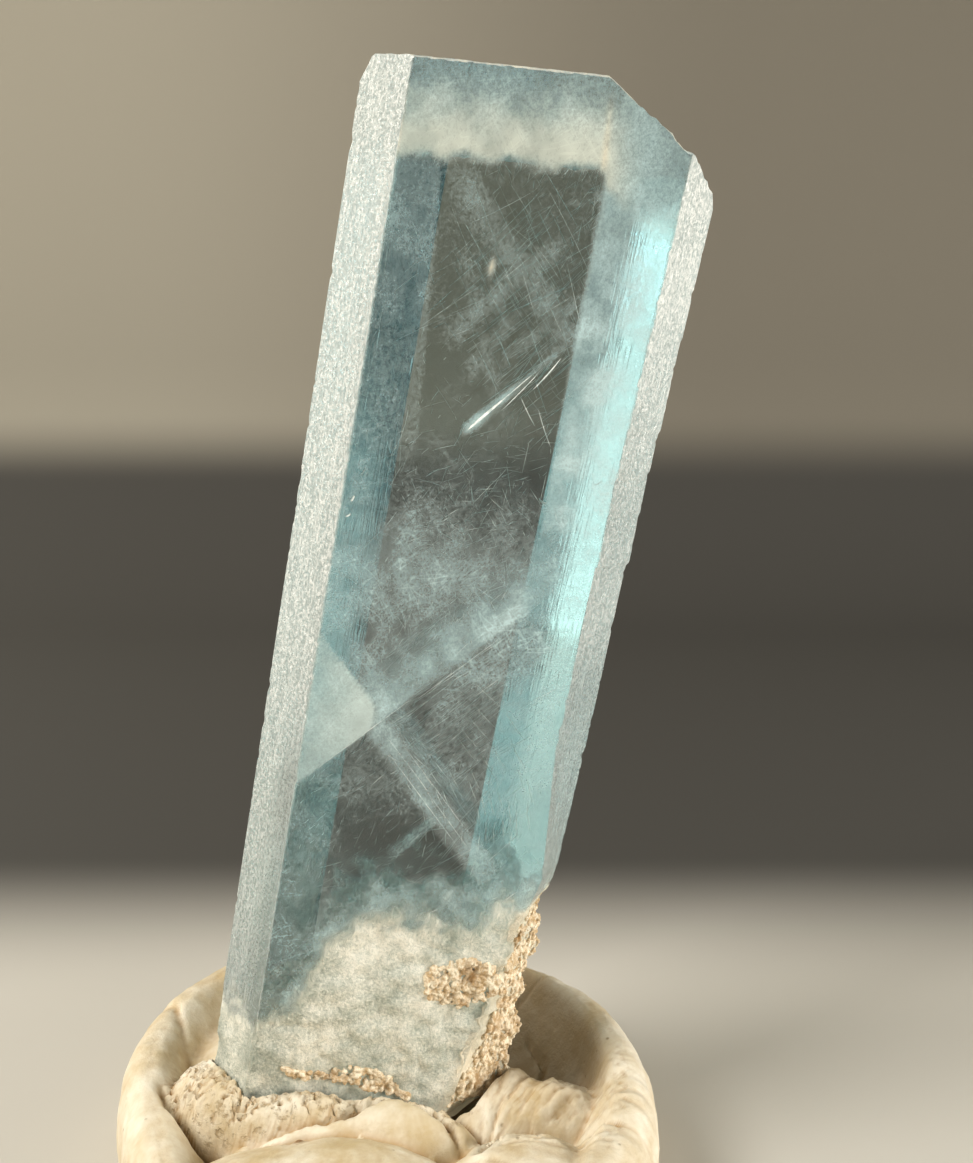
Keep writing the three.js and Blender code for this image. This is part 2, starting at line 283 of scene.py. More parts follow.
along = (px + 5.76) * math.cos(fall) - (pz - 28.0) * math.sin(fall)
crossing = 0.84 * smooth(-1.8, -0.9, across) * smooth(0.6, -0.3, across)
crossing = crossing * smooth(1.0, 5.0, along) * smooth(17.0, 13.0, along)
flake = np.interp(px, [-6.1, -3.2], [0.85, 1.5]) * smooth(-0.12, 0.12, over)
flake = flake * smooth(0.1, -0.1, across) * smooth(-2.7, -3.2, px)
veils_and_painted_light = np.maximum(np.maximum(veils_and_painted_light, climbing), np.maximum(crossing, flake))
stained = np.maximum(np.maximum(0.8 * broken_edge[corner], stained), np.where(on_face, 0.14 * flake, 0))

# A thicker wisp under the broken corner, and a haze that fills the face half way up.
wisp = np.exp(-(((px - 3.7) / 1.2) ** 2) - ((pz - 49.4 + 0.25 * (px - 3.7)) / 0.4) ** 2)
veils_and_painted_light = np.maximum(veils_and_painted_light, 1.1 * wisp)
belt = 0.2 * smooth(41, 43, pz) + 0.64 * np.exp(-((pz - 32.0) / 3.8) ** 2)
veils_and_painted_light = np.maximum(veils_and_painted_light, belt + 0.4 * smooth(17, 22, pz) * smooth(31, 27, pz))

# Soft smears along the two cleavages, in the clear part: both ends, half width and strength.
smears = (
    ((-4.2, 50.0), (3.5, 42.8), 0.9, 0.5),
    ((1.9, 48.2), (-3.3, 42.0), 0.7, 0.46),
    ((0.4, 45.0), (-2.0, 40.4), 0.6, 0.42),
    ((3.4, 46.2), (-0.6, 41.6), 0.5, 0.46),
    ((-3.0, 47.0), (0.8, 38.6), 0.6, 0.36),
)
for (ax, az), (bx, bz), half_width, weight in smears:
    run = math.hypot(bx - ax, bz - az)
    forth = ((px - ax) * (bx - ax) + (pz - az) * (bz - az)) / run
    aside = ((pz - az) * (bx - ax) - (px - ax) * (bz - az)) / run
    smear = np.exp(-((aside / half_width) ** 2))
    smear = smear * smooth(-0.5, 1.5, forth) * smooth(run + 0.5, run - 1.5, forth)
    veils_and_painted_light = np.maximum(veils_and_painted_light, weight * smear)

# Painted light caught in the bright crack: brightest just above its lower end, thinning as it climbs.
crack = math.radians(51)
up_crack = (px + 1.45) * math.cos(crack) + (pz - 38.5) * math.sin(crack)
off_crack = (pz - 38.5) * math.cos(crack) - (px + 1.45) * math.sin(crack)
flash_width = np.interp(up_crack, [0, 1.2, 3, 6], [0.12, 0.3, 0.2, 0.26])
crack_flash = np.interp(up_crack, [0, 0.5, 2.8, 4.2, 6.4, 6.8], [0, 1.3, 1.15, 0.62, 0.45, 0])
veils_and_painted_light = np.maximum(veils_and_painted_light, crack_flash * np.exp(-((off_crack / flash_width) ** 2)))

# Haze along both edges of the face, partly milkiness and partly painted light for the pale
# reflection in the edge bands: dense and hard-edged on the upper right, thinner on the left, and
# thinning out at the base and under the end.
veils_and_painted_light = np.maximum(veils_and_painted_light, 0.36 * smooth(3.6, 5.8, np.abs(px)) * smooth(44, 36, pz) * smooth(16, 24, pz))
inner = np.interp(pz, [35, 41, 49], [3.1, 2.85, 2.65])
beside = 0.94 + 0.1 * smooth(5.2, 4.2, px)
veils_and_painted_light = np.maximum(veils_and_painted_light, beside * smooth(inner - 0.12, inner + 0.2, px) * smooth(30, 38, pz))
beside = np.interp(pz, [30, 38, 42, 48], [0, 0.36, 0.42, 0.56])
veils_and_painted_light = np.maximum(veils_and_painted_light, beside * smooth(-3.6, -3.85, px - 0.09 * (44 - pz)))
veils_and_painted_light = np.maximum(veils_and_painted_light, 0.38 * smooth(-2.5, -4.5, px) * smooth(24, 18, pz))
veils_and_painted_light = np.maximum(veils_and_painted_light, 0.5 * smooth(3.2, 4.2, px - 0.35 * (47 - pz)) * smooth(42, 47, pz))
veils_and_painted_light = np.where(on_face, np.maximum(veils_and_painted_light, 0.75 * smooth(3.6, 0.4, above_scar[corner])), 0)

# Slow changes of tone: lumps in the base, blurred scales on the end, drifts in the milkiness.
lumps = 0.54 + 0.26 * grainy(points, 2.6, 4, 43.0) + 0.13 * grainy(points, 0.9, 5, 44.0)
scales = 0.5 + 0.4 * grainy(points * np.array([1, 0.5, 0.6]), 0.75, 4, 45.0)
scales += 0.55 * np.exp(-(((x - 2.75 + 0.1 * y) / 0.16) ** 2)) * smooth(4.4, 1.0, y)
drifts = 0.42 * grainy(points * np.array([1, 1, 0.8]), 1.3, 5, 47.0) * np.interp(z, [46, 49], [1, 0.4])
drifts += 0.5
tone = np.where(side_of == "end", scales[corner], np.where(on_face, drifts[corner], 0.5))
tone = tone + (0.55 - tone) * 0.6 * np.minimum(flake, 1)
tone = tone + (lumps[corner] - tone) * cloudy

# The bevels are ridged by growth, and painted shade darkens the back face above the base.
ridged = np.where(on_side, np.where(face_y < wide_y, 1.0, 0.3), 0)
painted_back_shade = np.where(side_of == "back", smooth(12, 16, pz), 0)
paint(crystal, "finish", np.stack([frosted, etched, cloudy], 1))
paint(crystal, "marks", np.stack([ridged, milky, stained], 1))
paint(crystal, "depths", np.stack([tone, veils_and_painted_light, painted_back_shade], 1))
paint(crystal, "blade_mm", points[corner])


def colour(srgb):
    """A hex colour as the linear values that shaders take."""
    parts = [int(srgb[i:i + 2], 16) / 255 for i in (1, 3, 5)]
    return [p / 12.92 if p <= 0.04045 else ((p + 0.055) / 1.055) ** 2.4 for p in parts] + [1]


def node(tree, kind, inputs=None, output=0, **settings):
    """Adds a shader node, sets its properties, fills or links its inputs, and returns one output."""
    made = tree.nodes.new("ShaderNode" + kind)
    for name, value in settings.items():
        setattr(made, name, value)
    for socket, value in (inputs or {}).items():
        if isinstance(value, bpy.types.NodeSocket):
            tree.links.new(value, made.inputs[socket])
        else:
            made.inputs[socket].default_value = value
    return made.outputs[output]


# Barite as it grows: glassy clear broad faces, bevels frosted by fine growth ridges that scatter
# light white, and a cloudy base full of cracks. Its blue comes from absorption inside the blade.
barite = bpy.data.materials.new("blue_barite")
barite.use_nodes = True
tree = barite.node_tree
gloss = tree.nodes["Principled BSDF"]
place = node(tree, "Attribute", output="Vector", attribute_name="blade_mm")
painted = []
for name in ("finish", "marks", "depths"):
    layer = node(tree, "Attribute", output="Vector", attribute_name=name)
    painted += node(tree, "SeparateXYZ", {0: layer}).node.outputs
frosted, etched, cloudy, ridged, milky, stained, tone, veils_and_painted_light, painted_back_shade = painted

# What a Mix node needs to blend its two colours, at sockets 6 and 7, and not two numbers.
of_colours = {"output": 2, "data_type": "RGBA"}

# Growth ridges about 0.15 mm apart run along the blade, among grains from 0.15 down to 0.04 mm.
drawn_out = node(tree, "VectorMath", {0: place, 1: (1, 1, 0.08)}, operation="MULTIPLY")
streaks = node(tree, "TexNoise", {"Vector": drawn_out, "Scale": 7.0, "Detail": 1.0, "Roughness": 0.7})
along = node(tree, "MapRange", {"Value": cloudy, "To Min": 0.8, "To Max": 1.0})
stretch = node(tree, "CombineXYZ", {0: 1.0, 1: 1.0, 2: along})
grain_place = node(tree, "VectorMath", {0: place, 1: stretch}, operation="MULTIPLY")
grains = node(tree, "TexNoise", {"Vector": grain_place, "Scale": 6.5, "Detail": 2.0, "Roughness": 0.95})
flecks = node(tree, "Math", {0: streaks, 1: 0.22, 2: grains}, operation="MULTIPLY_ADD")
flecks = node(tree, "MapRange", {"Value": flecks, "From Min": 0.5, "From Max": 0.73})
frost_cover = node(tree, "MapRange", {"Value": flecks, "To Min": 0.6, "To Max": 1.0})
frost = node(tree, "Math", {0: frost_cover, 1: frosted}, operation="MULTIPLY")

# The end is etched in blurred scales, and the base holds lumps of white among clearer patches.
mottle = node(tree, "Math", {0: grains, 1: 1.35, 2: tone}, operation="MULTIPLY_ADD")
mottle = node(tree, "Math", {0: mottle, 1: 0.58, 2: -0.1}, operation="MULTIPLY_ADD")
scaly = node(tree, "MapRange", {
    "Value": mottle, "From Min": 0.45, "From Max": 0.75, "To Min": 0.4, "To Max": 0.95,
})
scaly = node(tree, "Math", {0: scaly, 1: etched}, operation="MULTIPLY")
milk = node(tree, "MapRange", {
    "Value": mottle, "From Min": 0.38, "From Max": 0.74, "To Min": 0.45, "To Max": 1.0,
})
milk = node(tree, "Math", {0: milk, 1: cloudy}, operation="MULTIPLY")

# Feathery threads under the front face lie along two cleavages and across them, in drifts: slope in
# degrees, spacing in millimetres and softness.
threads = None
for slope, spacing, blur in ((48, 0.34, 0.018), (-50, 0.4, 0.018), (15, 0.6, 0.02)):
    turn = (0, math.radians(slope), 0)
    turned = node(tree, "Mapping", {"Vector": place, "Rotation": turn}, vector_type="POINT")
    long = node(tree, "VectorMath", {0: turned, 1: (0.12, 1, 1)}, operation="MULTIPLY")
    thread = node(tree, "TexNoise", {"Vector": long, "Scale": 1 / spacing, "Detail": 1.0, "Roughness": 0.6})
    off = node(tree, "Math", {0: thread, 1: 0.5}, operation="SUBTRACT")
    off = node(tree, "Math", {0: off}, operation="ABSOLUTE")
    line = node(tree, "MapRange", {"Value": off, "From Max": blur, "To Min": 0.24, "To Max": 0.0})
    threads = line if threads is None else node(tree, "Math", {0: threads, 1: line}, operation="ADD")
drift = node(tree, "MapRange", {"Value": tone, "From Min": 0.25, "From Max": 0.95})
haze_and_painted_light = node(tree, "Math", {0: threads, 1: 0.06}, operation="ADD")
haze_and_painted_light = node(tree, "Math", {0: haze_and_painted_light, 1: drift}, operation="MULTIPLY")
haze_and_painted_light = node(tree, "Math", {0: haze_and_painted_light, 1: milky}, operation="MULTIPLY")

# The painted sheets, with the painted light of the crack and the edge bands, show where the grains
# crowd in them, and vary with the slow change of tone.
fibrous = node(tree, "Math", {0: grains, 1: 1.1, 2: veils_and_painted_light}, operation="MULTIPLY_ADD")
sheet = node(tree, "MapRange", {"Value": fibrous, "From Min": 0.78, "From Max": 1.9, "To Max": 0.95})
patchy = node(tree, "MapRange", {
    "Value": tone, "From Min": 0.25, "From Max": 0.8, "To Min": 0.42, "To Max": 1.25,
})
sheet = node(tree, "Math", {0: sheet, 1: patchy}, operation="MULTIPLY")
haze_and_painted_light = node(tree, "Math", {0: haze_and_painted_light, 1: sheet}, operation="ADD")

# Light passes wherever none of these covers the surface.
stain_cover = node(tree, "Math", {0: stained, 1: 0.9}, operation="MULTIPLY")
hidden = frost
for cover in (scaly, milk, haze_and_painted_light, stain_cover):
    hidden = node(tree, "Math", {0: hidden, 1: cover}, operation="MAXIMUM")
clear_share = node(tree, "Math", {0: 1.0, 1: hidden}, operation="SUBTRACT")
tree.links.new(clear_share, gloss.inputs["Transmission Weight"])

# Worn and grown surfaces are satin, with brighter glints where a grain turns its face.
worn = node(tree, "Math", {0: frosted, 1: etched}, operation="MAXIMUM")
worn = node(tree, "Math", {0: worn, 1: cloudy}, operation="MAXIMUM")
satin = node(tree, "MapRange", {"Value": flecks, "To Min": 0.5, "To Max": 0.3})
rough = node(tree, "Math", {0: worn, 1: satin}, operation="MULTIPLY")
grown = node(tree, "Math", {0: ridged, 1: 0.06, 2: 0.015}, operation="MULTIPLY_ADD")
rough = node(tree, "Math", {0: rough, 1: grown}, operation="MAXIMUM")
tree.links.new(rough, gloss.inputs["Roughness"])

# Relief: the ridges stand up to 0.045 mm on the bevels, the grains up to 0.065 mm where it is worn.
ridge_height = node(tree, "Math", {0: ridged, 1: 0.045}, operation="MULTIPLY")
ridge_relief = node(tree, "Math", {0: streaks, 1: ridge_height}, operation="MULTIPLY")
grain_height = node(tree, "Math", {0: worn, 1: 0.065}, operation="MULTIPLY")
grain_relief = node(tree, "Math", {0: grains, 1: grain_height}, operation="MULTIPLY")
height = node(tree, "Math", {0: ridge_relief, 1: grain_relief}, operation="ADD")
bump = node(tree, "Bump", {"Height": height, "Strength": 0.7, "Distance": 0.001})
tree.links.new(bump, gloss.inputs["Normal"])

# Colours: bluish clear faces, painted shade on the back one, a warm dark tint that darkens what is
# seen through it, pale haze that also carries painted light, near-white frost, end and base with
# cooler hollows, and cream stains.
frost_white = node(tree, "Mix", {0: flecks, 6: colour("#B8C4C1"), 7: colour("#F1F3F0")}, **of_colours)
# Painted shade: a warm dark tint on the back face darkens what is seen through it.
clear = node(tree, "Mix", {0: painted_back_shade, 6: colour("#EAF7F5"), 7: colour("#A2948D")}, **of_colours)
# The haze tint also paints the light of the crack and the pale reflection in the edge bands.
haze_and_light_cover = node(tree, "MapRange", {"Value": haze_and_painted_light, "From Max": 0.4})
haze_and_light_tint = node(tree, "Mix", {0: haze_and_light_cover, 6: clear, 7: colour("#C7E1E4")}, **of_colours)
frost_white = node(tree, "Mix", {0: frosted, 6: haze_and_light_tint, 7: frost_white}, **of_colours)
lit = node(tree, "MapRange", {"Value": mottle, "From Min": 0.38, "From Max": 0.76})
end_white = node(tree, "Mix", {0: lit, 6: colour("#B4C6CC"), 7: colour("#FBF6E4")}, **of_colours)
base_white = node(tree, "Mix", {0: lit, 6: colour("#BAC6B8"), 7: colour("#FFFDF0")}, **of_colours)
on_the_end = node(tree, "Math", {0: etched, 1: 0.01}, operation="GREATER_THAN")
tint = node(tree, "Mix", {0: on_the_end, 6: frost_white, 7: end_white}, **of_colours)
tint = node(tree, "Mix", {0: cloudy, 6: tint, 7: base_white}, **of_colours)
tint = node(tree, "Mix", {0: stained, 6: tint, 7: colour("#F4E8CE")}, **of_colours)
tree.links.new(tint, gloss.inputs["Base Color"])
gloss.inputs["IOR"].default_value = 1.636

# Absorption takes mostly red, about a third of it in the blade's own thickness.
absorption = tree.nodes.new("ShaderNodeVolumeAbsorption")
absorption.inputs["Color"].default_value = (0.15, 0.7, 0.84, 1)
absorption.inputs["Density"].default_value = 50
tree.links.new(absorption.outputs["Volume"], tree.nodes["Material Output"].inputs["Volume"])
crystal.data.materials.append(barite)
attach(crystal, "root")
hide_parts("crystal")

# ---------------------------------------------------------------- cleavage veils
# Barite splits along two upright cleavages, 80 degrees apart. Partly opened ones hang in the
# clear blade as thin pale veils, each with air in it; they are part of the crystal, not added.
veil_gap = 0.02


def veil(first, second, into, fades, steps=(16, 6)):
    """A thin closed sheet from one line, going in by a vector, strongest away from its faded sides."""
    a, b, deep = (np.array(v, float) for v in (first, second, into))
    n, m = steps[0] + 1, steps[1] + 1
    along, inner = np.meshgrid(np.linspace(0, 1, n), np.linspace(0, 1, m), indexing="ij")
    face = a + along[..., None] * (b - a) + inner[..., None] * deep
    off = np.cross(b - a, deep)
    off = off / np.linalg.norm(off) * veil_gap / 2
    start, finish, near, far = fades
    strength = smooth(0, max(start, 1e-6), along) * smooth(0, max(finish, 1e-6), 1 - along)
    strength = strength * smooth(0, max(near, 1e-6), inner) * smooth(0, max(far, 1e-6), 1 - inner)
    number = np.arange(n * m).reshape(n, m)
    quads = np.stack([number[:-1, :-1], number[1:, :-1], number[1:, 1:], number[:-1, 1:]], -1)
    quads = quads.reshape(-1, 4)
    rim = np.concatenate([number[:, 0], number[-1, 1:], number[-2::-1, -1], number[0, -2:0:-1]])
    sides = [[p, q, q + n * m, p + n * m] for p, q in zip(rim, np.roll(rim, -1))]
    faces = np.concatenate([quads[:, ::-1], quads + n * m, np.array(sides)])
    both = np.concatenate([(face + off).reshape(-1, 3), (face - off).reshape(-1, 3)])
    return both, faces, np.tile(strength.ravel(), 2)


front_in, crack_in = low_y + 0.06, low_y + 0.5
veils = [
    # The broad veil that climbs to the right, and the one that crosses it, each from face to face.
    (veil((-6.0, front_in, 20.6), (6.4, front_in, 34.2), (-1.5, 6.4, 1.35), (0.02, 0.25, 0.0, 0.9)), 0.75),
    (veil((-5.9, front_in, 28.1), (5.6, front_in, 16.1), (0.35, 7.6, 0.3), (0.2, 0.3, 0.0, 0.5)), 0.4),
    # A short one parallel to the first, low in the blade.
    (veil((-1.0, front_in, 16.6), (1.6, front_in, 19.9), (-0.2, 2.2, 0.2), (0.2, 0.3, 0.0, 0.5)), 0.75),
    # The bright crack, open to the air at its lower end.
    (veil((-1.2, crack_in, 38.8), (2.5, crack_in, 43.3), (0.05, 2.4, 0.0), (0.02, 0.8, 0.0, 0.0)), 1.0),
    (veil((-1.2, crack_in, 38.8), (0.9, crack_in, 41.2), (-0.24, 1.2, 0.1), (0.02, 0.6, 0.0, 0.0)), 1.0),
    (veil((1.5, low_y + 1, 41.2), (2.35, low_y + 1, 42.9), (0.1, 1.6, 0.1), (0.3, 0.5, 0.0, 0.0)), 0.8),
    # A pale three-cornered flake between them, against the left edge.
    (veil((-6.05, low_y + 0.7, 21.4), (-6.05, low_y + 0.7, 28.0), (3.0, 0.1, 0.0), (0, 0, 0, 0)), 0.5),
]

# The flake narrows to a point at its own mid height, on the right.
flake_points, flake_middle = veils[-1][0][0], 24.75
narrowed = np.clip((-3.02 - flake_points[:, 0]) / 3.03, 0.01, 1)
flake_points[:, 2] = flake_middle + (flake_points[:, 2] - flake_middle) * narrowed

all_points, all_faces, strengths, count = [], [], [], 0
for (veil_points, veil_faces, strength), weight in veils:
    all_points.append(veil_points)
    all_faces.append(veil_faces + count)
    strengths.append(strength * weight)
    count += len(veil_points)
all_points, all_faces = np.concatenate(all_points), np.concatenate(all_faces)
strengths = np.concatenate(strengths)
cleavages = piece_from("cleavage_veils", all_points, all_faces, stand)
paint(cleavages, "blade_mm", all_points[all_faces.ravel()])
paint(cleavages, "strength", strengths[all_faces.ravel()])

# A film of air in stone: a pale, faintly satin sheet, patchy, and combed by fine parallel lines.
film = bpy.data.materials.new("air_film_in_barite")
film.use_nodes = True
tree = film.node_tree
place = node(tree, "Attribute", output="Vector", attribute_name="blade_mm")
strength = node(tree, "Attribute", output="Fac", attribute_name="strength")
turn = (0, math.radians(-42), 0)
turned = node(tree, "Mapping", {"Vector": place, "Rotation": turn}, vector_type="POINT")
combed = node(tree, "VectorMath", {0: turned, 1: (0.15, 0.5, 1)}, operation="MULTIPLY")
lines = node(tree, "TexNoise", {"Vector": combed, "Scale": 5.0, "Detail": 1.5, "Roughness": 0.7})
patches = node(tree, "TexNoise", {"Vector": place, "Scale": 0.8, "Detail": 1.0})
lines = node(tree, "MapRange", {
    "Value": lines, "From Min": 0.35, "From Max": 0.65, "To Min": 0.4, "To Max": 1.0,
})
patches = node(tree, "MapRange", {
    "Value": patches, "From Min": 0.3, "From Max": 0.65, "To Min": 0.35, "To Max": 1.0,
})
cover = node(tree, "Math", {0: lines, 1: patches}, operation="MULTIPLY")
cover = node(tree, "Math", {0: cover, 1: strength}, operation="MULTIPLY")
skin = tree.nodes["Principled BSDF"]
tree.links.new(cover, skin.inputs["Alpha"])
skin.inputs["Base Color"].default_value = colour("#EFF6F4")
skin.inputs["Roughness"].default_value = 0.4
skin.inputs["IOR"].default_value = 1.636
cleavages.data.materials.append(film)
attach(cleavages, "root")
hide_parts("crystal")

# ---------------------------------------------------------------- hairline cracks
# Some two and a half thousand hair-fine healed cracks and needle inclusions, white because they
# scatter light. Most follow the two cleavages; they crowd half way up and cross in the clear part.
hairs = np.random.default_rng(11)
hair_points, hair_faces = [], []
ring = np.array([[math.cos(a), math.sin(a)] for a in (0.3, 0.3 + 2 * math.pi / 3, 0.3 + 4 * math.pi / 3)])
stations = np.array([-0.72, -0.28, 0.28, 0.72])


def hairline(centre, slope, length, width, bend=0.0, tilt=0.0, proud=1.0):
    """Adds a closed sliver, pointed at both ends, along a slope and bent by a share of its length.

    It stands out of the front face by no more than it may be proud.
    """
    a = math.radians(slope)
    along = np.array([math.cos(a), math.sin(tilt), math.sin(a)])
    up = np.array([-math.sin(a), 0, math.cos(a)])
    deep = np.array([0, 1, 0])

    def spine(s):
        return np.array(centre) + along * (s * length / 2) + up * (bend * length * (s * s - 0.3))

    sliver = [spine(-1)]
    for s in stations:
        thick = width / 2 * math.sqrt(1 - s * s)
        sliver += [spine(s) + thick * (p * up + q * deep) for p, q in ring]
    sliver = np.array(sliver + [spine(1)])
    sliver[:, 1] = np.clip(sliver[:, 1], low_y - proud, high_y - 0.1)

    last = len(sliver) - 1
    faces = [[0, 1 + (i + 1) % 3, 1 + i] for i in range(3)]
    for start in range(1, last - 3, 3):
        for i in range(3):
            beyond = start + (i + 1) % 3
            faces.append([start + i, beyond, beyond + 3, start + i + 3])
    faces += [[last - 3 + i, last - 3 + (i + 1) % 3, last] for i in range(3)]
    first = len(hair_points) * len(sliver)
    hair_points.append(sliver)
    hair_faces.extend([i + first for i in face] for face in faces)


# Drifts of hairlines: how many, middle (x, z), spread, slope and its spread, length, share on the face.
drifts = (
    (220, (0.2, 45.5), (2.4, 2.8), 50, 14, (0.6, 3.2), 0.35),
    (200, (0.4, 45.5), (2.4, 3.0), -52, 12, (0.5, 3.0), 0.3),
    (110, (2.8, 49.7), (1.3, 0.9), 60, 30, (0.3, 0.9), 0.5),
    (120, (-0.6, 51.2), (3.4, 0.8), 84, 16, (0.4, 1.3), 0.3),
    (90, (1.4, 42.0), (1.5, 1.5), 52, 10, (0.6, 2.2), 0.4),
    (300, (0.2, 36.0), (2.6, 3.0), 46, 50, (0.2, 1.2), 0.6),
    (340, (-0.4, 31.0), (3.0, 2.6), 42, 50, (0.2, 1.0), 0.7),
    (220, (-0.2, 33.0), (3.0, 4.0), -48, 40, (0.2, 1.1), 0.6),
    (140, (-0.2, 30.0), (3.4, 2.2), 80, 30, (0.2, 0.7), 0.9),
    (160, (1.6, 27.0), (2.8, 2.2), 50, 7, (0.8, 2.6), 0.5),
    (120, (0.8, 24.3), (2.2, 1.8), 47, 6, (0.8, 2.8), 0.6),
    (80, (3.6, 19.5), (1.7, 2.4), 62, 10, (0.7, 2.4), 0.7),
    (100, (-3.0, 22.5), (2.0, 3.0), 52, 25, (0.3, 1.2), 0.4),
    (120, (-2.0, 17.0), (2.2, 3.0), 60, 40, (0.2, 0.8), 0.4),
    (80, (2.4, 16.5), (2.2, 2.0), 40, 20, (0.3, 1.4), 0.4),
    (140, (0.0, 30.0), (5.2, 16.0), 70, 40, (0.15, 0.5), 0.5),
)
for number, (mx, mz), (sx, sz), slope, fan, (short, long), on_face in drifts:
    for _ in range(number):
        cx, cz = mx + sx * hairs.normal() * 0.8, mz + sz * hairs.normal() * 0.8
        length = short + 1.5 * (long - short) * hairs.random() ** 3
        deep = low_y + 0.01
        if hairs.random() >= on_face:
            deep = low_y + 0.3 + (thickness - 0.8) * hairs.random() ** 1.5
        inside = min(front_half, np.interp(deep, [wide_y, high_y], [7.5, back_half])) - 0.15 - length / 2
        cx, cz = float(np.clip(cx, -inside, inside)), float(np.clip(cz, 13, 51.6))
        width = 0.01 + 0.022 * hairs.random() ** 3
        angle = slope + fan * hairs.normal() * 0.6
        tilt = 0.0 if deep < low_y + 0.1 else 0.3 * hairs.normal()
        hairline((cx, deep, cz), angle, length, width, 0.01 * hairs.normal(), tilt, proud=0.012)

# The bright crack itself, its lesser neighbours, a few short bright flecks, and the crisp lines along
# the two sheets: middle, slope, length, width and bend.
for centre, slope, length, width, bend in (
    ((0.1, low_y, 40.4), 51, 4.2, 0.06, 0.0), ((-0.45, low_y, 39.72), 51, 2.3, 0.2, 0.0),
    ((0.9, low_y, 41.0), 56, 2.4, 0.05, 0.01), ((1.95, low_y, 42.0), 59, 1.9, 0.08, 0.02),
    ((1.4, low_y, 40.2), -52, 1.5, 0.04, 0.02), ((2.3, low_y, 39.6), -60, 1.9, 0.04, 0.02),
    ((-5.66, low_y + 0.02, 34.9), 70, 0.35, 0.14, 0.1), ((-5.74, low_y + 0.02, 34.1), 40, 0.3, 0.13, 0.1),
    ((-5.4, low_y + 0.02, 36.2), 65, 0.6, 0.05, 0.1), ((2.99, low_y + 0.6, 36.25), -20, 0.5, 0.12, 0.2),
    ((5.3, low_y + 0.02, 37.6), 35, 0.6, 0.05, 0.1), ((-2.9, low_y + 0.4, 11.9), 72, 1.3, 0.12, 0.05),
    ((-2.5, low_y + 0.4, 13.0), 60, 0.9, 0.08, 0.05), ((-4.0, low_y + 0.02, 38.3), 80, 2.4, 0.03, 0.06),
    ((1.1, low_y + 0.02, 29.3), -72, 1.6, 0.03, 0.05), ((4.1, low_y + 0.3, 16.9), 12, 1.6, 0.09, 0.12),
    ((0.7, low_y, 21.2), -46.1, 6.0, 0.016, 0.0), ((1.6, low_y, 19.6), -46.8, 4.5, 0.014, 0.0),
    ((0.2, low_y, 20.5), -46.5, 6.5, 0.022, 0.0), ((-0.9, low_y, 22.3), -45.6, 4.0, 0.015, 0.0),
    ((-3.3, low_y, 23.6), 47.7, 6.0, 0.025, 0.0), ((0.5, low_y, 27.5), 47.7, 5.5, 0.02, 0.0),
):
    hairline(centre, slope, length, width, bend)

# Long curved lines, like the arcs of a fingertip, swing across the lower right of the clear part.
for turn in range(15):
    swing = 4.4 + 0.42 * turn + 0.08 * hairs.normal()
    start = hairs.uniform(-8, 20)
    for piece in range(5):
        a = math.radians(start + 12 * piece)
        if hairs.random() < 0.35:
            continue
        centre = (-3.6 + swing * math.cos(a), low_y + 0.008, 18.0 + swing * math.sin(a))
        if abs(centre[0]) > 5.6:
            continue
        hairline(centre, math.degrees(a) + 90, swing * math.radians(11), 0.028, -0.03)
hairlines = piece_from("hairline_cracks", np.concatenate(hair_points), hair_faces, stand)

# Healed cracks in barite: too fine to show their own surface, so a plain scattering white.
healed = bpy.data.materials.new("healed_crack_white")
healed.use_nodes = True
tree = healed.node_tree
place = node(tree, "TexCoord", output="Object")
broken = node(tree, "TexNoise", {"Vector": place, "Scale": 3500.0, "Detail": 1.0})
broken = node(tree, "MapRange", {"Value": broken, "From Min": 0.35, "From Max": 0.6})
white = node(tree, "Mix", {0: broken, 6: colour("#B9C9C6"), 7: colour("#FFFFFB")}, **of_colours)
tree.links.new(white, tree.nodes["Principled BSDF"].inputs["Base Color"])
tree.nodes["Principled BSDF"].inputs["Roughness"].default_value = 0.45
hairlines.data.materials.append(healed)
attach(hairlines, "root")
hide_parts("crystal")

# ---------------------------------------------------------------- tan matrix
# What is left of the host rock: sandy crumbs of tan carbonate and clay, cemented to the broken
# base in a patch, down the broken right edge and along the foot.
sand = np.random.default_rng(23)


def settled(vertices, faces, add_modifier):
    """Runs one modifier on a mesh in millimetres and returns the points and faces it gives."""
    mesh = bpy.data.meshes.new("blank")
    mesh.from_pydata(np.asarray(vertices).tolist(), [], [list(map(int, f)) for f in faces])
    blank = bpy.data.objects.new("blank", mesh)
    bpy.context.scene.collection.objects.link(blank)
    add_modifier(blank)
    made = bpy.data.meshes.new_from_object(blank.evaluated_get(bpy.context.evaluated_depsgraph_get()))
    result = np.array([v.co[:] for v in made.vertices]), [p.vertices[:] for p in made.polygons]
    bpy.data.objects.remove(blank)
    bpy.data.meshes.remove(mesh)
    bpy.data.meshes.remove(made)
    return result


def corner_normals(vertices, faces):
    """A unit normal at each vertex."""
    mesh = bpy.data.meshes.new("blank")
    mesh.from_pydata(np.asarray(vertices).tolist(), [], [list(map(int, f)) for f in faces])
    normals = np.array([v.normal[:] for v in mesh.vertices])
    bpy.data.meshes.remove(mesh)
    return normals


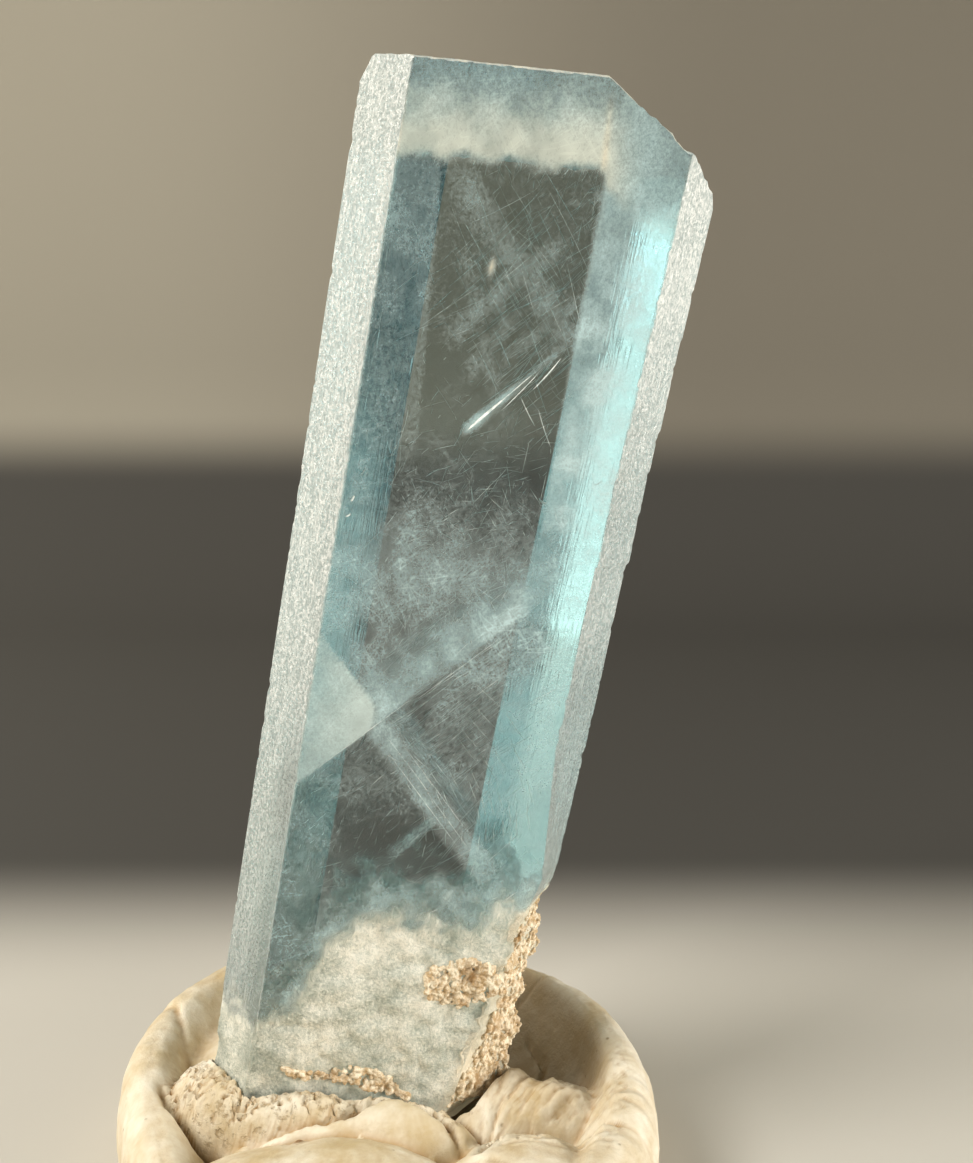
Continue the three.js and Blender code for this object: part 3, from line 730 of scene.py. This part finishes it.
def crumbs(name, seats, sizes, grit):
    """Grains set on points of the crystal's surface, fused and roughened into one crust."""
    bead = bmesh.new()
    bmesh.ops.create_icosphere(bead, subdivisions=2, radius=1)
    bead_points = np.array([v.co[:] for v in bead.verts])
    bead_faces = np.array([[v.index for v in f.verts] for f in bead.faces])
    bead.free()
    grains, faces = [], []
    for i, (seat, size) in enumerate(zip(seats, sizes)):
        turn, _ = np.linalg.qr(sand.normal(size=(3, 3)))
        rough = 1 + 0.35 * grainy(bead_points + 7.0 * i, 0.9, 2)
        grain = bead_points * rough[:, None] * sand.uniform(0.7, 1.15, 3) * size
        grains.append(grain @ turn + seat)
        faces.append(bead_faces + i * len(bead_points))

    def fuse(blank):
        remesh = blank.modifiers.new("fuse", "REMESH")
        remesh.mode = "VOXEL"
        remesh.voxel_size = grit

    fused, faces = settled(np.concatenate(grains), np.concatenate(faces), fuse)
    fused = fused + corner_normals(fused, faces) * (0.055 * grainy(fused, 0.18, 3, 3.0))[:, None]
    crust = piece_from(name, fused, faces, stand)
    crust.data.shade_smooth()
    crust.data.materials.append(matrix)
    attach(crust, "root")
    return crust


# Fine-grained carbonate and clay: dull, absorbent, warm tan with rusty and cream grains.
matrix = bpy.data.materials.new("tan_matrix_rock")
matrix.use_nodes = True
tree = matrix.node_tree
place = node(tree, "TexCoord", output="Object")
grain_mix = node(tree, "TexNoise", {"Vector": place, "Scale": 2600.0, "Detail": 3.0, "Roughness": 0.75})
stain = node(tree, "TexNoise", {"Vector": place, "Scale": 900.0, "Detail": 3.0})
pale = node(tree, "MapRange", {"Value": grain_mix, "From Min": 0.4, "From Max": 0.62})
rust = node(tree, "MapRange", {"Value": stain, "From Min": 0.55, "From Max": 0.8})
body = node(tree, "Mix", {0: pale, 6: colour("#CDB087"), 7: colour("#FFF3DA")}, **of_colours)
body = node(tree, "Mix", {0: rust, 6: body, 7: colour("#A8814F")}, **of_colours)
dull = tree.nodes["Principled BSDF"]
tree.links.new(body, dull.inputs["Base Color"])
dull.inputs["Roughness"].default_value = 0.92
dull.inputs["IOR"].default_value = 1.5
bump = node(tree, "Bump", {"Height": grain_mix, "Strength": 0.8, "Distance": 0.00015})
tree.links.new(bump, dull.inputs["Normal"])

surface = points[(base > 0.2) | (broken_edge > 0.2)]
sx, sy, sz = surface.T
at_front = sy < low_y + 1.1


def seats_in(region, number, apart):
    """Points of the crystal's surface in a region, none closer together than asked."""
    chosen = []
    for point in sand.permutation(surface[region]):
        if all(np.linalg.norm(point - other) > apart for other in chosen):
            chosen.append(point)
        if len(chosen) == number:
            break
    return np.array(chosen)


patch_blot = grainy(surface, 1.2, 3, 41.0)
patch_round = ((sx - 4.1) / 2.0) ** 2 + ((sz - 10.2 - 0.12 * (sx - 4)) / 1.4) ** 2
in_patch = at_front & (patch_round + 0.3 * patch_blot < 1.0)
seats = seats_in(in_patch, 360, 0.15)
patch = crumbs("matrix_patch_crust", seats, 0.09 + 0.18 * sand.random(len(seats)) ** 1.4, 0.045)
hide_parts("matrix_patch")

edge_line = np.interp(sz, [2, 5.5, 9, 12, 15.5], [4.6, 5.5, 6.1, 6.2, 6.9])
on_edge = (sx > edge_line + 0.35 - 0.6 * patch_blot) & (sy < wide_y + 0.5) & (sz < 14.9) & (sz > 2.4)
seats = seats_in(on_edge, 1000, 0.15)
finer_up = np.interp(seats[:, 2], [7, 14], [1.0, 0.6])
edge = crumbs("matrix_edge_crust", seats, (0.09 + 0.17 * sand.random(len(seats)) ** 2) * finer_up, 0.05)
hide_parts("matrix_edge")

foot_line = np.interp(sx, [-4.4, -3.4, -1.9, -0.6, 1.2, 2.2, 3.2], [4.0, 3.7, 3.7, 4.0, 3.6, 3.1, 2.9])
thick = np.interp(sx, [-4.4, -3.2, -2.0, -0.4, 1.0, 2.2], [0.2, 0.35, 0.2, 0.75, 0.5, 0.15])
at_foot = at_front & (sx > -4.5) & (sx < 2.6) & (np.abs(sz - foot_line + 0.1) < thick + 0.2 * patch_blot)
seats = seats_in(at_foot, 170, 0.19)
foot_crust = crumbs("matrix_foot_crust", seats, sand.uniform(0.1, 0.24, len(seats)), 0.055)
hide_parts("matrix_foot")

# ---------------------------------------------------------------- the putty
# A lump of cream modelling putty, thumb-pressed into a dish and pushed up in rolls against the
# foot of the crystal to hold it. Hands left it with creases, cracks and fingerprints.
putty_centre = np.array([-0.21, 0.04, 0.0])
crest_radius, putty_radius, under_radius = 13.4, 15.1, 12.6
rim_height, waist_height, dish_floor = 7.2, 3.4, 3.8

# Where fingers pushed the rim out or in: direction and spread in degrees, and how far.
rim_pushes = ((152, 30, 1.3), (50, 26, -1.1), (203, 22, -0.9), (-20, 25, 0.3))

# The mound under the foot, three lengths of creased roll, the front lobe, the wrinkled right lobe
# and the fold below it: middle, half sizes and turn.
lobes = (
    ((-3.6, 2.6, 3.0), (9.2, 6.6, 4.4), 0),
    ((-8.7, -2.0, 4.7), (3.7, 2.4, 3.5), -24),
    ((-4.6, -3.6, 4.4), (5.2, 2.1, 3.2), -6),
    ((0.9, -3.9, 3.9), (4.6, 2.1, 3.4), -4),
    ((-2.9, -8.8, 3.7), (9.2, 4.6, 3.9), 2),
    ((8.6, -1.0, 3.1), (5.8, 3.0, 3.6), 14),
    ((8.0, -7.4, 3.2), (5.2, 4.2, 3.9), -20),
)


def swell(around):
    """How much wider the lump is in a direction than a round one would be."""
    radius = np.full_like(around, putty_radius)
    for direction, spread, reach in rim_pushes:
        away = np.abs(np.angle(np.exp(1j * (around - math.radians(direction)))))
        radius += reach * np.exp(-((away / math.radians(spread)) ** 2))
    return radius / putty_radius


def off_line(x, y, line):
    """Distance from points to a polyline, and how far along it the nearest point is."""
    best, at = np.full(x.shape, 1e9), np.zeros(x.shape)
    for i, ((ax, ay), (bx, by)) in enumerate(zip(line[:-1], line[1:])):
        span = (bx - ax) ** 2 + (by - ay) ** 2
        run = np.clip(((x - ax) * (bx - ax) + (y - ay) * (by - ay)) / span, 0, 1)
        away = np.hypot(x - ax - run * (bx - ax), y - ay - run * (by - ay))
        at = np.where(away < best, (i + run) / (len(line) - 1), at)
        best = np.minimum(best, away)
    return best, at


def lump_top(x, y, middle, half, turn):
    """The top of one rounded lump, falling away steeply outside it."""
    a = math.radians(turn)
    dx, dy = x - middle[0], y - middle[1]
    along = (dx * math.cos(a) + dy * math.sin(a)) / half[0]
    q = along ** 2 + ((dy * math.cos(a) - dx * math.sin(a)) / half[1]) ** 2
    return middle[2] + half[2] * np.sqrt(np.clip(1 - q, 0, 1)) - 5 * np.clip(np.sqrt(q) - 1, 0, None)


def soft_max(a, b, blend):
    """The higher of two heights, filleted where they cross."""
    return np.maximum(a, b) + np.clip(blend - np.abs(a - b), 0, None) ** 2 / (4 * blend)


# The top is a square grid drawn out to a disc, so that its cells stay even.
cells = 196
gu, gv = np.meshgrid(np.linspace(-1, 1, cells + 1), np.linspace(-1, 1, cells + 1), indexing="ij")
tx = gu * np.sqrt(1 - gv ** 2 / 2)
ty = gv * np.sqrt(1 - gu ** 2 / 2)
ring_radius = np.hypot(tx, ty) * crest_radius
around = np.arctan2(ty, tx)
tx, ty = ring_radius * swell(around) * np.cos(around), ring_radius * swell(around) * np.sin(around)
flat_place = np.stack([tx, ty, np.zeros_like(tx)], -1)
mound_blend, roll_blend = 1.2, 0.5
top = dish_floor + (rim_height - dish_floor) * smooth(9.8, 12.9, ring_radius)
for i, (middle, half, turn) in enumerate(lobes):
    top = soft_max(top, lump_top(tx, ty, middle, half, turn), roll_blend if i else mound_blend)
top = top * (1 + 0.03 * np.sin(3 * around + 0.6))
top += 0.14 * grainy(flat_place, 3.2, 3, 51.0)

# Creases: a line, how deep and how wide.
creases = (
    ([
        (-12.6, -1.2), (-11.6, -3.0), (-9.4, -4.4), (-6.0, -4.9),
        (-2.4, -4.4), (1.0, -2.9), (3.6, -4.0), (5.0, -6.0),
    ], 0.75, 0.3),
    ([(5.0, -6.2), (6.2, -4.4), (7.9, -3.3), (11.1, -4.1), (13.6, -5.4)], 0.6, 0.3),
    ([(5.0, -6.2), (4.6, -8.4), (5.0, -10.6)], 0.45, 0.5),
    ([(5.2, -5.6), (8.6, -5.2), (12.4, -6.4)], 0.14, 0.16),
    ([(5.4, -6.6), (8.0, -8.6), (9.6, -11.2)], 0.12, 0.16),
    ([(8.1, 6.8), (9.3, 4.5), (8.3, 3.2), (8.6, 1.9)], 0.3, 0.1),
    ([(7.4, 8.0), (9.9, 8.3), (12.1, 6.6), (13.2, 4.2)], 0.16, 0.09),
    ([(-12.6, 8.6), (-10.2, 9.6), (-7.4, 9.9)], 0.12, 0.08),
    ([(-13.9, 5.6), (-12.6, 3.2), (-11.0, -0.2)], 0.3, 0.3),
)
for line, depth, width in creases:
    away, at = off_line(tx, ty, line)
    away = away + 0.12 * grainy(flat_place, 0.8, 3, 61.0)
    top -= depth * np.exp(-((away / width) ** 2)) * smooth(0, 0.08, at) * smooth(1, 0.85, at)


def torn_skin(x, y):
    """How far the putty's skin is torn: all along the top of the roll in front of the crystal."""
    upper = np.interp(x, [-11.8, -8.9, -5.5, -2.1, 3.6], [-0.3, -0.7, -1.5, -1.9, -2.6])
    lower = np.interp(x, [-11.8, -9.5, -6.2, -2.6, 1.0, 3.6], [-2.7, -4.3, -4.8, -4.3, -3.2, -3.9])
    within = smooth(-0.3, 0.3, upper + 1.2 - y) * smooth(-0.2, 0.2, y - lower)
    return within * smooth(-12.4, -11.4, x) * smooth(4.8, 3.4, x)


# The roll's skin has torn into flakes and keeps a fingerprint; the right lobe wrinkles like a fan
# from a knot in the creases. Behind the crystal the dish is pressed deeper.
print_spacing, right_print_spacing = 0.46, 0.5
knot_x, knot_y = 4.6, -6.0
on_roll = torn_skin(tx, ty)
flakes = grainy(flat_place * np.array([0.8, 1.5, 1]), 0.7, 4, 71.0)
top -= on_roll * 0.32 * np.exp(-((flakes / 0.09) ** 2))
top += on_roll * 0.18 * grainy(flat_place, 0.45, 4, 73.0)
behind = smooth(7.2, 9.0, np.hypot(tx, ty)) * smooth(12.6, 11.4, np.hypot(tx, ty))
behind = behind * smooth(-12, 5, np.degrees(around)) * smooth(62, 45, np.degrees(around))
top -= 1.2 * behind
print_rings = np.hypot(tx + 7.4, (ty + 5.6) * 1.2) + 0.25 * grainy(flat_place, 1.8, 2, 75.0)
top += on_roll * smooth(-3.0, -5.0, tx) * 0.045 * np.sin(2 * math.pi * print_rings / print_spacing)
fan = np.arctan2(ty - knot_y, tx - knot_x)
from_knot = np.hypot(tx - knot_x, ty - knot_y)
on_fan = smooth(1.0, 2.2, from_knot) * smooth(12, 9, from_knot)
on_fan = on_fan * smooth(-0.15, 0.2, fan) * smooth(1.5, 1.1, fan)
fan_place = np.stack([from_knot * 0.3, fan * 7.0, np.zeros_like(fan)], -1)
top += on_fan * 0.42 * grainy(fan_place, 0.8, 4, 77.0)
right_rings = from_knot + 0.3 * grainy(flat_place, 1.5, 2, 79.0)
right_print = np.sin(2 * math.pi * right_rings / right_print_spacing)
top += on_fan * 0.03 * right_print * smooth(5.0, 7.5, from_knot)
wrung = smooth(1.6, 0.2, np.hypot(tx - 4.6, ty + 1.9)) + smooth(1.4, 0.2, np.hypot(tx - 3.4, ty + 3.0))
top += wrung * 0.22 * grainy(flat_place, 0.6, 4, 81.0)

# A speck of rust-brown grit, and the small pit it pressed.
speck = np.array([-3.9, -5.85])
from_speck = np.hypot(tx - speck[0], ty - speck[1])
top -= 0.3 * np.exp(-((from_speck / 0.62) ** 2)) - 0.42 * np.exp(-((from_speck / 0.36) ** 2))
top += 0.035 * grainy(flat_place, 0.5, 3, 83.0)

number = np.arange((cells + 1) ** 2).reshape(cells + 1, cells + 1)
loop = np.concatenate([number[:-1, 0], number[-1, :-1], number[:0:-1, -1], number[0, :0:-1]])
lump_points = [np.stack([tx, ty, top], -1).reshape(-1, 3)]
cell_corners = [number[:-1, :-1], number[1:, :-1], number[1:, 1:], number[:-1, 1:]]
lump_faces = [np.stack(cell_corners, -1).reshape(-1, 4)]

# From its crest the wall rounds out to the waist, in under it to the flat foot, and closes there.
loop_angle, loop_top = around.ravel()[loop], top.ravel()[loop]
stretch = swell(loop_angle)
outward = np.stack([np.cos(loop_angle), np.sin(loop_angle), np.zeros_like(loop_angle)], -1)
rows = []
for a in np.linspace(0, math.pi / 2, 15)[1:]:
    radius = crest_radius + (putty_radius - crest_radius) * math.sin(a)
    rows.append((radius, waist_height + (loop_top - waist_height) * math.cos(a)))
for a in np.linspace(0, math.pi / 2, 13)[1:]:
    radius = under_radius + (putty_radius - under_radius) * math.cos(a)
    rows.append((radius, np.full_like(loop_top, waist_height * (1 - math.sin(a)))))
rows += [(under_radius * s, np.zeros_like(loop_top)) for s in (0.8, 0.55, 0.25)]
start = len(lump_points[0])
previous = loop
for radius, height in rows:
    row = radius * stretch[:, None] * outward
    row[:, 2] = height
    if height.max() > 0:
        dented = 0.16 * grainy(row, 3.0, 3, 85.0) + 0.03 * grainy(row, 0.6, 3, 87.0)
        row += outward * (dented * np.minimum(height, 1))[:, None]
    lump_points.append(row)
    here = start + np.arange(len(loop))
    lump_faces.append(np.stack([previous, here, np.roll(here, -1), np.roll(previous, -1)], -1))
    previous, start = here, start + len(loop)
lump_points.append(np.zeros((1, 3)))
lump_faces = [face for group in lump_faces for face in group.tolist()]
lump_faces += [[int(p), start, int(q)] for p, q in zip(previous, np.roll(previous, -1))]
lump_points = np.concatenate(lump_points) + putty_centre

# The foot of the crystal is pressed into it: a close pocket in the blade's own section.
ease = 0.05
section = [
    (-front_half, low_y), (front_half, low_y), (wide_half, wide_y),
    (back_half, high_y), (-back_half, high_y), (-wide_half, wide_y),
]
section = [(sx * (1 + ease / wide_half), sy + math.copysign(ease, sy)) for sx, sy in section]
pocket = [(sx, sy, sz) for sz in (0.15, 20) for sx, sy in section]
pocket = (np.c_[np.array(pocket) * MM, np.ones(12)] @ np.array(stand).T)[:, :3] / MM
cutter_mesh = bpy.data.meshes.new("pocket")
cutter_mesh.from_pydata(pocket.tolist(), [], [
    [5, 4, 3, 2, 1, 0], [6, 7, 8, 9, 10, 11], *[[i, (i + 1) % 6, 6 + (i + 1) % 6, 6 + i] for i in range(6)]
])
cutter = bpy.data.objects.new("pocket", cutter_mesh)
bpy.context.scene.collection.objects.link(cutter)


def press_pocket(blank):
    press = blank.modifiers.new("press", "BOOLEAN")
    press.operation = "DIFFERENCE"
    press.solver = "EXACT"
    press.object = cutter


lump_points, lump_faces = settled(lump_points, lump_faces, press_pocket)
bpy.data.objects.remove(cutter)
bpy.data.meshes.remove(cutter_mesh)
putty = piece_from("putty_lump", lump_points, lump_faces)
putty.data.shade_smooth()
putty.data.set_sharp_from_angle(angle=math.radians(55))

# Wax-bound modelling putty: matt with a faint satin where it was thumbed smooth, slightly
# deeper cream in its creases, partly staining and partly painted shade, with tiny pores and specks
# of dirt.
putty_skin = bpy.data.materials.new("cream_wax_putty")
putty_skin.use_nodes = True
tree = putty_skin.node_tree
place = node(tree, "TexCoord", output="Object")
wear_and_shade = node(tree, "Attribute", output="Vector", attribute_name="wear_and_shade")
grit, torn, shade_and_dirt = node(tree, "SeparateXYZ", {0: wear_and_shade}).node.outputs
cloudy_tone = node(tree, "TexNoise", {"Vector": place, "Scale": 320.0, "Detail": 4.0, "Roughness": 0.65})
fine_tone = node(tree, "TexNoise", {"Vector": place, "Scale": 2400.0, "Detail": 3.0, "Roughness": 0.7})
# Creases are darkened, partly by staining and partly as painted shade.
crease_shade_and_stain = node(tree, "NewGeometry", output="Pointiness")
crease_shade_and_stain = node(tree, "MapRange", {
    "Value": crease_shade_and_stain, "From Min": 0.42, "From Max": 0.51, "To Min": 1.0, "To Max": 0.0,
})
patchy = node(tree, "MapRange", {"Value": cloudy_tone, "From Min": 0.35, "From Max": 0.65})
tone = node(tree, "Mix", {0: patchy, 6: colour("#D3BE96"), 7: colour("#F3EAD6")}, **of_colours)
tone = node(tree, "Mix", {0: crease_shade_and_stain, 6: tone, 7: colour("#B4905F")}, **of_colours)
pores = node(tree, "TexVoronoi", {"Vector": place, "Scale": 900.0})
specks = node(tree, "MapRange", {
    "Value": pores, "From Min": 0.05, "From Max": 0.12, "To Min": 1.0, "To Max": 0.0,
})
sparse = node(tree, "MapRange", {"Value": cloudy_tone, "From Min": 0.48, "From Max": 0.58})
specks = node(tree, "Math", {0: specks, 1: sparse}, operation="MULTIPLY")
crazing = node(tree, "TexNoise", {"Vector": place, "Scale": 1700.0, "Detail": 3.0, "Roughness": 0.7})
crazing = node(tree, "MapRange", {
    "Value": crazing, "From Min": 0.36, "From Max": 0.46, "To Min": 1.0, "To Max": 0.0,
})
crazing = node(tree, "Math", {0: crazing, 1: torn}, operation="MULTIPLY")
crazing = node(tree, "Math", {0: crazing, 1: 0.55}, operation="MULTIPLY")
specks = node(tree, "Math", {0: specks, 1: crazing}, operation="MAXIMUM")
tone = node(tree, "Mix", {0: specks, 6: tone, 7: colour("#8F7348")}, **of_colours)
# Painted shade, with some dirt, darkens the dish behind the crystal.
tone = node(tree, "Mix", {0: shade_and_dirt, 6: tone, 7: colour("#7E6643")}, **of_colours)
tone = node(tree, "Mix", {0: grit, 6: tone, 7: colour("#8A6234")}, **of_colours)
wax = tree.nodes["Principled BSDF"]
tree.links.new(tone, wax.inputs["Base Color"])
thumbed = node(tree, "MapRange", {"Value": fine_tone, "To Min": 0.38, "To Max": 0.6})
tree.links.new(thumbed, wax.inputs["Roughness"])
wax.inputs["IOR"].default_value = 1.48
pitted = node(tree, "Math", {0: fine_tone, 1: specks}, operation="SUBTRACT")
bump = node(tree, "Bump", {"Height": pitted, "Strength": 0.7, "Distance": 0.0001})
tree.links.new(bump, wax.inputs["Normal"])
putty.data.materials.append(putty_skin)

# Where the grit sits, where the skin is torn, and the painted shade, with dirt, behind the crystal.
speck_x, speck_y = (speck + putty_centre[:2]) * MM
spots = np.array([v.co[:] for v in putty.data.vertices])
loops = np.array([l.vertex_index for l in putty.data.loops])
upper = spots[:, 2] > 4 * MM
near = np.hypot(spots[:, 0] - speck_x, spots[:, 1] - speck_y) / MM
grit = smooth(0.42, 0.2, near) * upper
from_middle = spots[:, :2] / MM - putty_centre[:2]
torn = torn_skin(*from_middle.T) * upper
reach, angle = np.hypot(*from_middle.T), np.degrees(np.arctan2(from_middle[:, 1], from_middle[:, 0]))
shade_and_dirt = smooth(6.0, 8.5, reach) * smooth(13.0, 12.0, reach) * smooth(-15, 10, angle)
shade_and_dirt = shade_and_dirt * smooth(66, 48, angle)
paint(putty, "wear_and_shade", np.stack([grit, torn, 0.75 * shade_and_dirt], 1)[loops])
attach(putty, "root")
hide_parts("putty")

# ---------------------------------------------------------------- stage
# A sheet of backdrop paper, pale where the specimen stands and shaded darker behind it, swept up
# into a wall painted a little lighter to the left, as painted light from the window. Daylight falls
# from the left; everything else is plain soft room light.
sweep_start, sweep_radius, wall_top = 150, 60, 520
bend = np.linspace(0, math.pi / 2, 13)
sweep = [(-420, 0.0)] + [(v, 0.0) for v in np.linspace(-60, sweep_start, 22)]
sweep += [(sweep_start + sweep_radius * math.sin(a), sweep_radius * (1 - math.cos(a))) for a in bend[1:]]
sweep += [(sweep_start + sweep_radius, wall_top)]
across = np.linspace(-600, 600, 25)
sheet_points = [(sx, sy, sz) for sy, sz in sweep for sx in across]
wide = len(across)
sheet_faces = [
    (r * wide + c, r * wide + c + 1, (r + 1) * wide + c + 1, (r + 1) * wide + c)
    for r in range(len(sweep) - 1) for c in range(wide - 1)
]
backdrop = piece_from("backdrop", sheet_points, sheet_faces)
backdrop.data.shade_smooth()
paper = bpy.data.materials.new("graduated_paper")
paper.use_nodes = True
tree = paper.node_tree
where = node(tree, "TexCoord", output="Object")
side, far, up = node(tree, "SeparateXYZ", {0: where}).node.outputs
eased = {"interpolation_type": "SMOOTHSTEP"}
darker = node(tree, "MapRange", {"Value": far, "From Min": 0.016, "From Max": 0.042}, **eased)
lighter = node(tree, "MapRange", {"Value": up, "From Min": 0.028, "From Max": 0.046}, **eased)
# Painted light: the wall is made lighter to the left, where the window light falls.
painted_falloff_rightward = node(tree, "MapRange", {"Value": side, "From Min": -0.09, "From Max": 0.07}, **eased)
shade = node(tree, "Mix", {0: darker, 6: colour("#CFCBC2"), 7: colour("#42403C")}, **of_colours)
wall = node(tree, "Mix", {0: painted_falloff_rightward, 6: colour("#9B9587"), 7: colour("#7A7468")}, **of_colours)
shade = node(tree, "Mix", {0: lighter, 6: shade, 7: wall}, **of_colours)
tree.links.new(shade, tree.nodes["Principled BSDF"].inputs["Base Color"])
tree.nodes["Principled BSDF"].inputs["Roughness"].default_value = 0.9
backdrop.data.materials.append(paper)


def soft_light(name, place, target, size, power, tint):
    """A rectangular lamp aimed at a point; lengths in metres, power in watts."""
    light = bpy.data.lights.new(name, "AREA")
    light.shape = "RECTANGLE"
    light.size, light.size_y = size
    light.energy = power
    light.color = colour(tint)[:3]
    lamp = bpy.data.objects.new(name, light)
    lamp.location = Vector(place)
    lamp.rotation_euler = (Vector(target) - Vector(place)).to_track_quat("-Z", "Y").to_euler()
    bpy.context.scene.collection.objects.link(lamp)


soft_light("key", (-0.22, -0.12, 0.27), (0, 0, 0.02), (0.14, 0.14), 1.05, "#FFFAF2")
soft_light("left_window", (-0.3, 0.06, 0.07), (0, 0, 0.03), (0.4, 0.4), 0.85, "#FFF6E4")
soft_light("right_wall", (0.35, 0.07, 0.05), (0, 0, 0.03), (0.4, 0.4), 0.14, "#FFF6E0")
soft_light("right_fill", (0.28, -0.09, 0.06), (0, 0, 0.035), (0.12, 0.12), 0.82, "#FFFBF4")
soft_light("skylight", (0.0, 0.12, 0.34), (0, 0, 0.05), (0.3, 0.3), 0.14, "#FFF8EE")

# Plain grey light from all round the room.
world = bpy.data.worlds.new("studio")
world.use_nodes = True
world.node_tree.nodes["Background"].inputs["Color"].default_value = colour("#77776F")
world.node_tree.nodes["Background"].inputs["Strength"].default_value = 1.0
bpy.context.scene.world = world
